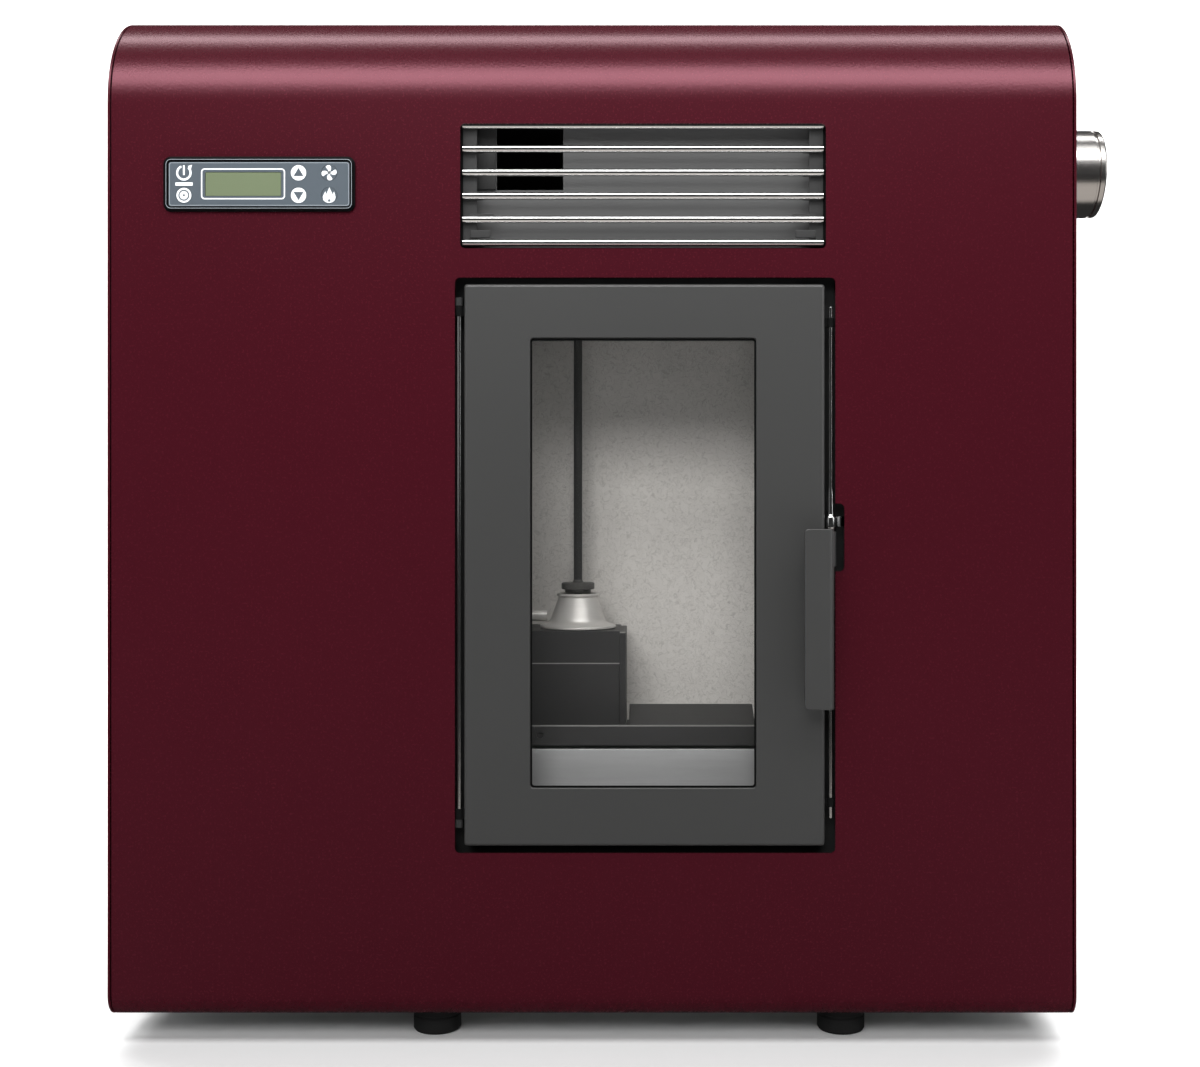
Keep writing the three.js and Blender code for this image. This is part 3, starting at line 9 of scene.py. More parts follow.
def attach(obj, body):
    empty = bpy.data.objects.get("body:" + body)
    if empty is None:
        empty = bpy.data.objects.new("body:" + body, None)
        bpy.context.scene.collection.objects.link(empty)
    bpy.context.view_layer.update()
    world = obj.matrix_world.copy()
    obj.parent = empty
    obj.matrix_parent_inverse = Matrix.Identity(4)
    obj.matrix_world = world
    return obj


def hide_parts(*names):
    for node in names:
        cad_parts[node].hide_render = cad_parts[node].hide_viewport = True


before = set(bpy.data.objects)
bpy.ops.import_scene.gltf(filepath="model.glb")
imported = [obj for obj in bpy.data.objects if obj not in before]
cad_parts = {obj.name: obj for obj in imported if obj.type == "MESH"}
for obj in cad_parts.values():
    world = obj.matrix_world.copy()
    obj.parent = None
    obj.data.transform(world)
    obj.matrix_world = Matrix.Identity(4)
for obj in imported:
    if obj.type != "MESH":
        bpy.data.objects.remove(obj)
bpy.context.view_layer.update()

# ---- Camera, floor and light ----
# A level camera stands before the right part of the casing, shifted so that the whole stove is in view. The
# floor runs up into a pale wall, and soft boxes light the stove from the front, above, the sides and
# behind.
camera = bpy.data.objects.new("camera", bpy.data.cameras.new("camera"))
camera.data.lens = 45
camera.data.sensor_width = 36
camera.data.shift_x = -0.04
camera.data.shift_y = -0.028
camera.location = (0.0217, -1.4671, 0.4891)
camera.rotation_euler = (math.radians(90), 0, 0)
bpy.context.collection.objects.link(camera)
bpy.context.scene.camera = camera


def simple_material(name, color, roughness, metallic=0.0):
    material = bpy.data.materials.new(name)
    material.use_nodes = True
    shader = material.node_tree.nodes["Principled BSDF"]
    shader.inputs["Base Color"].default_value = (*color, 1)
    shader.inputs["Roughness"].default_value = roughness
    shader.inputs["Metallic"].default_value = metallic
    return material, shader


def verts_of(result):
    return [item for item in result["geom"] if isinstance(item, bmesh.types.BMVert)]


def draw_out(bm, edges, x, y, z):
    """Draws edges out into a sheet by a step."""
    grown = bmesh.ops.extrude_edge_only(bm, edges=edges)
    bmesh.ops.translate(bm, vec=(x, y, z), verts=verts_of(grown))
    return grown


def bevel(bm, geom, width, segments, kind="EDGES", clamp=False):
    bmesh.ops.bevel(bm, geom=geom, offset=width, segments=segments, profile=0.5, affect=kind,
                    clamp_overlap=clamp, material=-1)


sweep = bmesh.new()
lane = [sweep.verts.new((-14, y, z)) for y, z in ((-14, 0), (5, 0), (5, 8))]
runs = [sweep.edges.new(pair) for pair in zip(lane, lane[1:])]
draw_out(sweep, runs, 28, 0, 0)
fold = [e for e in sweep.edges if all(abs(v.co.y - 5) < 1e-6 and abs(v.co.z) < 1e-6 for v in e.verts)]
bevel(sweep, fold, 2.0, 24)
bmesh.ops.recalc_face_normals(sweep, faces=sweep.faces)
floor = bpy.data.objects.new("floor", bpy.data.meshes.new("floor"))
sweep.to_mesh(floor.data)
sweep.free()
floor.data.shade_smooth()
floor.data.materials.append(simple_material("floor_paper", (0.86, 0.86, 0.86), 0.9)[0])
bpy.context.collection.objects.link(floor)
floor.visible_glossy = False


def soft_box(name, spot, aim, width, height, power):
    lamp = bpy.data.lights.new(name, "AREA")
    lamp.shape = "RECTANGLE"
    lamp.size = width
    lamp.size_y = height
    lamp.energy = power
    box = bpy.data.objects.new(name, lamp)
    box.location = spot
    box.rotation_euler = (Vector(aim) - Vector(spot)).to_track_quat("-Z", "Y").to_euler()
    bpy.context.collection.objects.link(box)
    return box


soft_box("light_front", (-0.4, -3.0, 1.9), (0, 0, 0.42), 1.8, 0.9, 62).visible_glossy = False
soft_box("light_above", (0, -1.3, 2.02), (0, -0.05, 0.9), 2.6, 0.66, 36)
soft_box("light_top", (0, 0.14, 2.18), (0, -0.03, 0.9), 2.6, 0.3, 13)
soft_box("light_left", (-2.1, -1.5, 1.3), (0, 0, 0.45), 0.9, 1.8, 5)
soft_box("light_right", (2.2, -1.3, 1.4), (0.1, 0, 0.5), 0.8, 1.8, 13)
soft_box("light_rear", (0.6, 2.9, 1.5), (0, 0.1, 0.45), 2.4, 1.4, 45).visible_camera = False
light_wall = soft_box("light_wall", (0, 2.6, 4.2), (0, 3.2, 0), 9, 3, 620)
light_wall.visible_glossy = False
light_wall.visible_camera = False
# Two cards lit for the bare steel alone, one high in front and one low.
bright_steel = bpy.data.collections.new("bright_steel")
for name, spot, power, tint in (("card_high", (0.3, -1.25, 2.15), 17, (1, 1, 1)),
                                ("card_low", (0.3, -0.75, -0.45), 9, (1, 0.93, 0.87))):
    card = soft_box(name, spot, (0.3, 0, 0.78), 2.8, 1.5, power)
    card.data.color = tint
    card.visible_camera = False
    card.light_linking.receiver_collection = bright_steel
world = bpy.data.worlds.new("room")
world.use_nodes = True
world.node_tree.nodes["Background"].inputs["Color"].default_value = (1, 1, 1, 1)
world.node_tree.nodes["Background"].inputs["Strength"].default_value = 0.04
bpy.context.scene.world = world
bpy.context.scene.view_settings.view_transform = "Standard"

# ---- Front cover ----
# One steel sheet, bent over at the top and under at the bottom, cut out for the door, the grille, the
# control panel and the hopper. It is sprayed with a fine-grained burgundy powder paint and stoved.
# From here each piece is drawn in millimetres: x from the casing's middle, y back from its front, z up.
to_frame = Matrix.Translation((-0.028, -0.1365, 0)) @ Matrix.Scale(0.001, 4)


def wire(source, output, target, socket):
    source.id_data.links.new(source.outputs[output], target.inputs[socket])


def texture_node(tree, kind, **values):
    node = tree.nodes.new(kind)
    for socket, value in values.items():
        node.inputs[socket].default_value = value
    return node


def range_node(tree, low, high):
    return texture_node(tree, "ShaderNodeMapRange", **{"To Min": low, "To Max": high})


def grained_paint(name, color, roughness, grain=0.0002, grain_scale=900, metallic=0.0, mottle=0.06,
                 specular=None):
    """Paint whose tone drifts slightly, with a fine pebbled surface."""
    material, shader = simple_material(name, color, roughness, metallic)
    tree = material.node_tree
    place = tree.nodes.new("ShaderNodeTexCoord")
    drift = texture_node(tree, "ShaderNodeTexNoise", Scale=3.0, Detail=3.0)
    pebble = texture_node(tree, "ShaderNodeTexNoise", Scale=float(grain_scale), Detail=2.0, Roughness=0.6)
    tone = tree.nodes.new("ShaderNodeMix")
    tone.data_type = "RGBA"
    tone.inputs[6].default_value = (*[c * (1 - mottle) for c in color], 1)
    tone.inputs[7].default_value = (*[c * (1 + mottle) for c in color], 1)
    gloss = range_node(tree, roughness * 0.93, roughness * 1.07)
    bump = texture_node(tree, "ShaderNodeBump", Strength=0.35, Distance=grain)
    for noise in (drift, pebble):
        wire(place, "Object", noise, "Vector")
    wire(drift, "Fac", tone, 0)
    wire(tone, 2, shader, "Base Color")
    wire(pebble, "Fac", gloss, "Value")
    wire(gloss, "Result", shader, "Roughness")
    wire(pebble, "Fac", bump, "Height")
    wire(bump, "Normal", shader, "Normal")
    if specular is not None:
        shader.inputs["Specular IOR Level"].default_value = specular
    return material


def dress(name, bm, material, body, slot, *nodes, crease=32, flat_front=False):
    """Turns a drawing in millimetres into a piece on its body, in place of its solids."""
    bmesh.ops.transform(bm, matrix=to_frame, verts=bm.verts)
    bm.normal_update()
    bm.edges.index_update()
    front_rim = [e.index for e in bm.edges if len({f.normal.y < -0.9999 for f in e.link_faces}) == 2]
    mesh = bpy.data.meshes.new(name)
    bm.to_mesh(mesh)
    bm.free()
    mesh.shade_smooth()
    mesh.set_sharp_from_angle(angle=math.radians(crease))
    for index in front_rim if flat_front else ():
        mesh.edges[index].use_edge_sharp = True
    mesh.materials.append(material)
    piece = bpy.data.objects.new(name, mesh)
    flats = piece.modifiers.new("flat_faces_stay_flat", "WEIGHTED_NORMAL")
    flats.keep_sharp = True
    bpy.context.collection.objects.link(piece)
    if slot in ("chrome", "stainless"):
        bright_steel.objects.link(piece)
    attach(piece, body)
    if nodes:
        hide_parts(*nodes)
    return piece


def cut_at(bm, axis, *places):
    """Cuts the whole drawing across an axis at each place, leaving edges there."""
    normal = Vector([1.0 if i == axis else 0.0 for i in range(3)])
    for place in places:
        geom = list(bm.verts) + list(bm.edges) + list(bm.faces)
        bmesh.ops.bisect_plane(bm, geom=geom, dist=1e-4, plane_co=normal * place, plane_no=normal)


def punch(bm, x0, x1, z0, z1, y_most=1.0):
    """Removes the faces of an upright sheet inside a rectangle that its cuts already follow."""
    inside = [f for f in bm.faces if f.calc_center_median().y < y_most
              and x0 < f.calc_center_median().x < x1 and z0 < f.calc_center_median().z < z1]
    bmesh.ops.delete(bm, geom=inside, context="FACES")


def round_edges(bm, width, segments=2, least_angle=40, only=None):
    """Rounds the edges that turn by more than an angle."""
    sharp = [e for e in bm.edges if len(e.link_faces) == 2
             and e.calc_face_angle() > math.radians(least_angle) and (only is None or only(e))]
    bevel(bm, sharp, width, segments, clamp=True)


def edges_of(made):
    return list({e for v in made["verts"] for e in v.link_edges})


def add_block(bm, x0, x1, y0, y1, z0, z1, rounding=0.0, segments=2):
    """A block with its edges rounded, between two corners."""
    middle = ((x0 + x1) / 2, (y0 + y1) / 2, (z0 + z1) / 2)
    made = bmesh.ops.create_cube(bm, size=1, matrix=Matrix.Translation(middle)
                                 @ Matrix.Diagonal((x1 - x0, y1 - y0, z1 - z0, 1)))
    if rounding:
        edges = edges_of(made)
        bevel(bm, edges, rounding, segments, clamp=True)


def turned(spot, axis):
    """A place at which something drawn upright lies along another axis."""
    return Matrix.Translation(spot) @ Matrix.Rotation(math.radians(90), 4, axis)


def cylinder(bm, segments, radius, length, matrix):
    return bmesh.ops.create_cone(bm, cap_ends=True, segments=segments, radius1=radius, radius2=radius,
                                 depth=length, matrix=matrix)


def face_outward(bm, axis, sign):
    """Turns an open sheet's faces so that its outermost face along an axis looks out."""
    bmesh.ops.recalc_face_normals(bm, faces=bm.faces)
    outermost = max(bm.faces, key=lambda f: f.calc_center_median()[axis] * sign)
    if outermost.normal[axis] * sign < 0:
        bmesh.ops.reverse_faces(bm, faces=bm.faces)


casing_red = grained_paint("casing_red", (0.041, 0.0027, 0.0068), 0.27, grain=0.0003, grain_scale=520,
                           specular=0.8)
casing_red.node_tree.nodes["Principled BSDF"].inputs["Specular Tint"].default_value = (1.0, 0.42, 0.52, 1)

cover_half, sheet, top_z, bottom_z = 426.4, 2.0, 935.0, 28.0
cover_rear, lip_rear = 278.2, 36.0
casing_bends = ((top_z, 92.0, 40), (bottom_z, 22.0, 14))
cover = bmesh.new()
line = [cover.verts.new((-cover_half, y, z))
        for y, z in ((lip_rear, bottom_z), (0, bottom_z), (0, top_z), (cover_rear, top_z))]
strips = [cover.edges.new(pair) for pair in zip(line, line[1:])]
draw_out(cover, strips, cover_half * 2, 0, 0)
for bend_z, radius, segments in casing_bends:
    bend = [e for e in cover.edges if all(abs(v.co.y) < 1e-6 and abs(v.co.z - bend_z) < 1e-6
                                          for v in e.verts)]
    bevel(cover, bend, radius, segments)
door_hole = (-121.7, 216.0, 175.6, 686.4)
door_notch = (216.0, 224.0, 425.6, 485.9)
grille_hole = (-117.0, 207.6, 712.2, 823.1)
panel_hole = (-377.7, -211.6, 746.2, 791.3)
mouth = (-400.0, -150.0, 106.0, 250.0)
cut_at(cover, 0, door_hole[0], door_hole[1], door_notch[1], grille_hole[0], grille_hole[1],
       panel_hole[0], panel_hole[1], mouth[0], mouth[1])
cut_at(cover, 2, door_hole[2], door_hole[3], door_notch[2], door_notch[3], grille_hole[2], grille_hole[3],
       panel_hole[2], panel_hole[3])
cut_at(cover, 1, mouth[2], mouth[3])
corner_radius = 4.5
for x0, x1, z0, z1 in (door_hole, grille_hole):
    cut_at(cover, 0, x0 + corner_radius, x1 - corner_radius)
    cut_at(cover, 2, z0 + corner_radius, z1 - corner_radius)
for hole in (door_hole, door_notch, grille_hole, panel_hole):
    punch(cover, *hole)
cut_at(cover, 0, door_notch[1] - corner_radius)
cut_at(cover, 2, door_notch[2] + corner_radius, door_notch[3] - corner_radius)
bmesh.ops.remove_doubles(cover, verts=cover.verts, dist=1e-3)
for x0, x1, z0, z1 in (door_hole, grille_hole, door_notch):
    corners = ((x0, corner_radius), (x1, -corner_radius))
    for x, inward in corners[1:] if (x0, x1, z0, z1) == door_notch else corners:
        for z, upward in ((z0, corner_radius), (z1, -corner_radius)):
            arc = [(x + inward * (1 - math.sin(math.radians(9 * step))),
                    z + upward * (1 - math.cos(math.radians(9 * step)))) for step in range(11)]
            cover.faces.new([cover.verts.new((a, 0, b)) for a, b in [(x, z)] + arc])
bmesh.ops.remove_doubles(cover, verts=cover.verts, dist=1e-3)
over_mouth = [f for f in cover.faces if f.calc_center_median().z > top_z - 1
              and mouth[0] < f.calc_center_median().x < mouth[1]
              and mouth[2] < f.calc_center_median().y < mouth[3]]
bmesh.ops.delete(cover, geom=over_mouth, context="FACES")
face_outward(cover, 1, -1)
bmesh.ops.solidify(cover, geom=list(cover.faces), thickness=sheet)
round_edges(cover, 0.45, 2, 60)
for ear_x in (-358.3, -199.7):
    add_block(cover, ear_x, ear_x + 8, 257, 267, 934.5, 939.9)
    cylinder(cover, 40, 5, 8, turned((ear_x + 4, 262, 939.3), "Y"))
dress("cover_sheet", cover, casing_red, "root", "casing_red", "front_cover")

# ---- Side panels ----
# Flat steel plates cut to the casing's outline and set outside the cover, with a narrow dark joint between.
# They have the cover's red powder paint. The right one is cut out for the flue stub.
def thicken(bm, x, y, z):
    """Draws all faces out by a step and turns the closed form's faces outward."""
    grown = bmesh.ops.extrude_face_region(bm, geom=list(bm.faces))
    bmesh.ops.translate(bm, vec=(x, y, z), verts=verts_of(grown))
    bmesh.ops.recalc_face_normals(bm, faces=bm.faces)


def fill_outline(bm, normal=(0, -1, 0)):
    """Fills the space between an outline and the holes drawn in it."""
    bmesh.ops.delete(bm, geom=list(bm.faces), context="FACES_ONLY")
    bmesh.ops.triangle_fill(bm, use_beauty=True, use_dissolve=False, edges=bm.edges, normal=normal)


def side_plate(x0, x1, rounding, segments, flue_hole=False):
    plate = bmesh.new()
    plate.faces.new([plate.verts.new((x0, y, z))
                     for y, z in ((280, bottom_z), (0, bottom_z), (0, top_z), (280, top_z))])
    for bend_z, radius, steps in casing_bends:
        corner = [v for v in plate.verts if abs(v.co.y) < 1e-6 and abs(v.co.z - bend_z) < 1e-6]
        bevel(plate, corner, radius, steps, "VERTICES")
    if flue_hole:
        bmesh.ops.create_circle(plate, segments=72, radius=43, matrix=turned((x0, 135, 806.7), "Y"))
        fill_outline(plate, (1, 0, 0))
    thicken(plate, x1 - x0, 0, 0)
    round_edges(plate, rounding, segments, 60)
    return plate


left_plate = side_plate(-430.0, -427.8, 0.5, 3)
add_block(left_plate, -427.7, -413.8, 276, 278.2, 33.6, 919, 0.4)
dress("side_sheet_left", left_plate, casing_red, "root", "casing_red", "side_panel_left")
right_plate = side_plate(427.8, 430.0, 0.4, 2, flue_hole=True)
add_block(right_plate, 413.8, 427.7, 276, 278.2, 33.6, 919, 0.4)
dress("side_sheet_right", right_plate, casing_red, "root", "casing_red", "side_panel_right")

# ---- Rear panel and base plate ----
# The rear is a screwed-on steel sheet with rows of louvre slots, painted matt black. The base is zinc-coated
# sheet that carries the firebox, the fans and the feet.
black_paint = grained_paint("black_paint", (0.018, 0.018, 0.018), 0.55)
rear = bmesh.new()
add_block(rear, -427.5, 427.5, 278.5, 280, 28, 934.7)
slot_rows = [60 + 16 * row for row in range(7)] + [720 + 16 * row for row in range(7)]
cuts = (-65, 125, 335.7, 364.3, 340.2, 359.8)
cut_at(rear, 0, *cuts)
cut_at(rear, 2, *[z + step for z in slot_rows for step in (0, 5)], 107.7, 132.3, 152.7, 179.3)


def open_through(bm, x0, x1, z0, z1):
    """Opens a rectangle through a flat sheet: both faces go and the two rims are bridged."""
    inside = [f for f in bm.faces if abs(f.normal.y) > 0.9 and x0 < f.calc_center_median().x < x1
              and z0 < f.calc_center_median().z < z1]
    bmesh.ops.delete(bm, geom=inside, context="FACES")
    rims = [e for e in bm.edges if e.is_boundary]
    bmesh.ops.bridge_loops(bm, edges=rims)


for z in slot_rows:
    open_through(rear, -65, 125, z, z + 5)
open_through(rear, 335.7, 364.3, 107.7, 132.3)
open_through(rear, 340.2, 359.8, 152.7, 179.3)
for x in (-415, 0, 415):
    for z in (45, 480, 915):
        bmesh.ops.create_uvsphere(rear, u_segments=20, v_segments=8, radius=4,
                                  matrix=Matrix.Translation((x, 280, z)) @ Matrix.Diagonal((1, 0.42, 1, 1)))
dress("rear_sheet", rear, black_paint, "root", "black_paint", "rear_panel")


def brushed_metal(name, color, roughness, stretch=(1, 1, 1), scale=300.0, metallic=1.0, depth=0.00005):
    """Metal with fine lines drawn out along one direction, and patches of slightly other gloss."""
    material, shader = simple_material(name, color, roughness, metallic)
    tree = material.node_tree
    place = tree.nodes.new("ShaderNodeTexCoord")
    turn = tree.nodes.new("ShaderNodeMapping")
    turn.inputs["Scale"].default_value = stretch
    lines = texture_node(tree, "ShaderNodeTexNoise", Scale=scale, Detail=4.0, Roughness=0.65)
    tone = range_node(tree, roughness * 0.75, roughness * 1.25)
    shade = tree.nodes.new("ShaderNodeMix")
    shade.data_type = "RGBA"
    shade.inputs[6].default_value = (*[c * 0.88 for c in color], 1)
    shade.inputs[7].default_value = (*[min(1, c * 1.1) for c in color], 1)
    bump = texture_node(tree, "ShaderNodeBump", Strength=0.3, Distance=depth)
    wire(place, "Object", turn, "Vector")
    wire(turn, "Vector", lines, "Vector")
    wire(lines, "Fac", tone, "Value")
    wire(lines, "Fac", shade, 0)
    wire(lines, "Fac", bump, "Height")
    wire(shade, 2, shader, "Base Color")
    wire(tone, "Result", shader, "Roughness")
    wire(bump, "Normal", shader, "Normal")
    return material


def paint_node(material, *names):
    """Gives built solids their finish."""
    for name in names:
        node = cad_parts[name]
        node.data.materials.clear()
        node.data.materials.append(material)


zinc_sheet = brushed_metal("zinc_sheet", (0.40, 0.41, 0.41), 0.42, (1, 1, 1), 90.0, metallic=0.45)
paint_node(zinc_sheet, "base_plate", "pellet_hopper", "auger_tube", "exhaust_housing", "blower_housing",
           "blower_wheel")
paint_node(black_paint, "exhaust_motor", "blower_motor", "firebox_shell", "glass_retainer")

# ---- Feet ----
# Four moulded rubber pads on steel studs that screw up into the base plate, so that the stove can be
# levelled. Each pad is a turned disc with rounded rims and a shallow groove.
def lathe(profile, spot, steps=64):
    """A profile of radius and height turned about an upright axis through a spot."""
    bm = bmesh.new()
    ring = [bm.verts.new((radius, 0, z)) for radius, z in profile]
    edges = [bm.edges.new(pair) for pair in zip(ring, ring[1:])]
    bmesh.ops.spin(bm, geom=ring + edges, cent=(0, 0, 0), axis=(0, 0, 1), angle=math.tau, steps=steps,
                   use_merge=True, use_duplicate=False)
    bmesh.ops.remove_doubles(bm, verts=bm.verts, dist=1e-4)
    bmesh.ops.recalc_face_normals(bm, faces=bm.faces)
    bmesh.ops.translate(bm, vec=spot, verts=bm.verts)
    return bm


rubber = grained_paint("foot_rubber", (0.012, 0.012, 0.012), 0.7, grain=0.0003, grain_scale=700)
for label, x, y in (("front_left", -145.4, 60), ("front_right", 228.2, 60),
                    ("rear_left", -145.4, 232), ("rear_right", 228.2, 232)):
    pad = lathe([(0.0, 0.0), (18.8, 0.0), (20.6, 0.7), (21.8, 2.4), (21.8, 14.0), (21.0, 14.6), (21.0, 16.0),
                 (21.8, 16.6), (21.8, 28.6), (21.2, 29.6), (4.0, 29.9), (4.0, 43.0), (3.2, 44.2),
                 (0.0, 44.2)], (x, y, 0))
    dress("foot_pad_" + label, pad, rubber, "root", "rubber", "foot_" + label)

# ---- Hopper lid ----
# A small red steel flap over the pellet hopper's mouth, with a turned-down rim, a finger lip along its front
# and a rolled barrel on a pin behind.
lid = bmesh.new()
add_block(lid, -408, -142, 98, 255.7, 935.3, 937.8, 0.6)
add_block(lid, -335, -215, 89, 99, 935.3, 937.8, 0.9)
add_block(lid, -350, -200, 250, 262, 935.3, 937.8, 0.4)
for x0, x1, y0, y1 in ((-396, -154, 110, 112), (-396, -154, 244, 246), (-396, -394, 112, 244),
                       (-156, -154, 112, 244)):
    add_block(lid, x0, x1, y0, y1, 925.3, 935.4, 0.4)
across = turned((-275, 262, 939.3), "Y")
for radius, length in ((3.0, 150), (2.0, 168)):
    cylinder(lid, 36, radius, length, across)
dress("hopper_flap", lid, casing_red, "lid", "casing_red", "hopper_lid")

# ---- Control panel ----
# A glossy black moulding is pushed into the cover. In it lies a printed blue-grey foil over six short-travel
# keys and a liquid crystal display. The symbols are white ink, here thin raised shapes on the keycaps.
def flat_outline(bm, x0, x1, z0, z1, radius, y, segments=8):
    """An upright face with rounded corners."""
    corners = [bm.verts.new((x, y, z)) for x, z in ((x0, z0), (x1, z0), (x1, z1), (x0, z1))]
    bm.faces.new(corners)
    if radius:
        bevel(bm, corners, radius, segments, "VERTICES")


def join(bm, other):
    """Adds another drawing to this one."""
    carried = bpy.data.meshes.new("carried")
    other.to_mesh(carried)
    other.free()
    bm.from_mesh(carried)
    bpy.data.meshes.remove(carried)


def upright_frame(outer, inner, y0, y1, rounding=0.3, segments=8):
    """A flat frame between two rounded outlines, each given as x0, x1, z0, z1, corner radius."""
    bm = bmesh.new()
    flat_outline(bm, *outer, y0, segments)
    flat_outline(bm, *inner, y0, segments)
    bmesh.ops.delete(bm, geom=list(bm.faces), context="FACES_ONLY")
    bmesh.ops.bridge_loops(bm, edges=list(bm.edges))
    thicken(bm, 0, y1 - y0, 0)
    if rounding:
        round_edges(bm, rounding, 3, 60)
    return bm


def upright_plate(x0, x1, z0, z1, radius, y0, y1, rounding=0.3, segments=8):
    bm = bmesh.new()
    flat_outline(bm, x0, x1, z0, z1, radius, y0, segments)
    thicken(bm, 0, y1 - y0, 0)
    if rounding:
        round_edges(bm, rounding, 3, 60)
    return bm


gloss_black = grained_paint("gloss_black", (0.003, 0.003, 0.0035), 0.18, grain=0.00002, grain_scale=500,
                            specular=0.12)
bezel = upright_frame((-379.6, -209.7, 744.3, 793.2, 7.0), (-375.0, -214.3, 748.9, 788.6, 2.3), -2.9, -0.3,
                      0.9)
bead = upright_frame((-378.4, -210.9, 745.5, 792.0, 6.0), (-376.4, -212.9, 747.5, 790.0, 4.2), -4.0, -2.0,
                     0.9)
join(bezel, bead)
sleeve = upright_frame((-377.4, -211.9, 746.5, 791.0, 4.0), (-375.0, -214.3, 748.9, 788.6, 2.3), -0.4, 13.0,
                       0)
join(bezel, sleeve)
dress("panel_bezel", bezel, gloss_black, "root", "gloss_black", "display_bezel")

slate_foil = grained_paint("slate_foil", (0.072, 0.089, 0.106), 0.42, grain=0.00003, grain_scale=2500,
                           mottle=0.1)
key_spots = {"key_power": (-361.2, 778.7), "key_standby": (-361.2, 758.8), "key_up": (-259.7, 778.7),
             "key_down": (-259.7, 758.8), "key_fan": (-232.6, 778.7), "key_flame": (-232.6, 758.8)}
foil = bmesh.new()
flat_outline(foil, -374.7, -214.6, 749.2, 788.3, 2.0, -2.6)
flat_outline(foil, -342.6, -275.0, 758.0, 779.5, 0.6, -2.6, 3)
for x, z in key_spots.values():
    bmesh.ops.create_circle(foil, segments=48, radius=7.15,
                            matrix=turned((x, -2.6, z), "X"))
fill_outline(foil)
thicken(foil, 0, 2.4, 0)
dress("panel_foil", foil, slate_foil, "root", "slate_foil", "control_membrane")

ink_white, ink_shader = simple_material("ink_white", (0.80, 0.83, 0.86), 0.5)
ink_grain = texture_node(ink_white.node_tree, "ShaderNodeTexNoise", Scale=1800.0, Detail=2.0)
ink_place = ink_white.node_tree.nodes.new("ShaderNodeTexCoord")
ink_bump = texture_node(ink_white.node_tree, "ShaderNodeBump", Strength=0.2, Distance=0.00003)
wire(ink_place, "Object", ink_grain, "Vector")
wire(ink_grain, "Fac", ink_bump, "Height")
wire(ink_bump, "Normal", ink_shader, "Normal")
ink_front = -2.68


def ink(bm):
    """Gives flat shapes drawn at the foil's face the thickness of an ink layer."""
    bmesh.ops.recalc_face_normals(bm, faces=bm.faces)
    thicken(bm, 0, 0.1, 0)


def ink_arc(bm, x, z, radius, width, start=0.0, sweep=360.0, steps=40):
    """A ring or part of one, spun from a short line across it. Angles are in degrees from the right."""
    begin = math.radians(start)
    inner = bm.verts.new((x + (radius - width) * math.cos(begin), ink_front,
                          z + (radius - width) * math.sin(begin)))
    outer = bm.verts.new((x + radius * math.cos(begin), ink_front, z + radius * math.sin(begin)))
    across = bm.edges.new((inner, outer))
    full = sweep >= 360
    bmesh.ops.spin(bm, geom=[inner, outer, across], cent=(x, 0, z), axis=(0, -1, 0),
                   angle=math.radians(sweep), steps=steps, use_merge=full, use_duplicate=False)
    bmesh.ops.remove_doubles(bm, verts=bm.verts, dist=1e-4)


def ink_shape(bm, points):
    bm.faces.new([bm.verts.new((x, ink_front, z)) for x, z in points])


def key_disc(bm, x, z):
    """The keycap: a disc flush with the foil on a stem that reaches the board."""
    about = Matrix.Rotation(math.radians(90), 4, "X")
    cap = cylinder(bm, 64, 6.9, 2.0, Matrix.Translation((x, -1.6, z)) @ about)
    rim = [e for e in edges_of(cap)
           if e.calc_face_angle(0) > 1 and all(v.co.y < -2 for v in e.verts)]
    bevel(bm, rim, 0.25, 2)
    cylinder(bm, 24, 2.5, 7.4, Matrix.Translation((x, 2.3, z)) @ about)


symbols = {}
for key, (x, z) in key_spots.items():
    cap = bmesh.new()
    key_disc(cap, x, z)
    dress(key + "_cap", cap, slate_foil, key, "slate_foil", key)
    symbols[key] = bmesh.new()

x, z = key_spots["key_power"]
ink_arc(symbols["key_power"], x, z, 6.9, 1.9, 112, 298)
ink_shape(symbols["key_power"], [(x - 0.8, z - 2.0), (x + 0.8, z - 2.0), (x + 0.8, z + 6.6),
                                 (x - 0.8, z + 6.6)])
ink_shape(symbols["key_power"], [(x + 3.4, z + 6.0), (x + 6.2, z + 3.2), (x + 7.2, z + 7.0)])
x, z = key_spots["key_standby"]
ink_arc(symbols["key_standby"], x, z, 6.6, 1.7)
ink_arc(symbols["key_standby"], x, z, 3.7, 2.7)
for key, way in (("key_up", 1), ("key_down", -1)):
    x, z = key_spots[key]
    bmesh.ops.create_circle(symbols[key], segments=56, radius=6.8,
                                   matrix=turned((x, ink_front, z), "X"))
    tip, foot = z + 4.5 * way, z - 3.0 * way
    arrow = [symbols[key].verts.new((a, ink_front, b))
             for a, b in ((x, tip), (x - 4.5, foot), (x + 4.5, foot))]
    for pair in zip(arrow, arrow[1:] + arrow[:1]):
        symbols[key].edges.new(pair)
    fill_outline(symbols[key])
x, z = key_spots["key_fan"]
for quarter in range(4):
    turn = math.radians(90 * quarter + 16)
    blade = []
    for along, across in ((0.5, -0.7), (2.6, -2.6), (4.9, -3.1), (6.4, -2.2), (6.8, -0.2), (6.1, 1.4),
                          (4.2, 0.9), (2.6, 0.2), (0.5, 0.8)):
        blade.append((x + along * math.cos(turn) - across * math.sin(turn),
                      z + along * math.sin(turn) + across * math.cos(turn)))
    ink_shape(symbols["key_fan"], blade)
ink_arc(symbols["key_fan"], x, z, 1.5, 0.8)
x, z = key_spots["key_flame"]
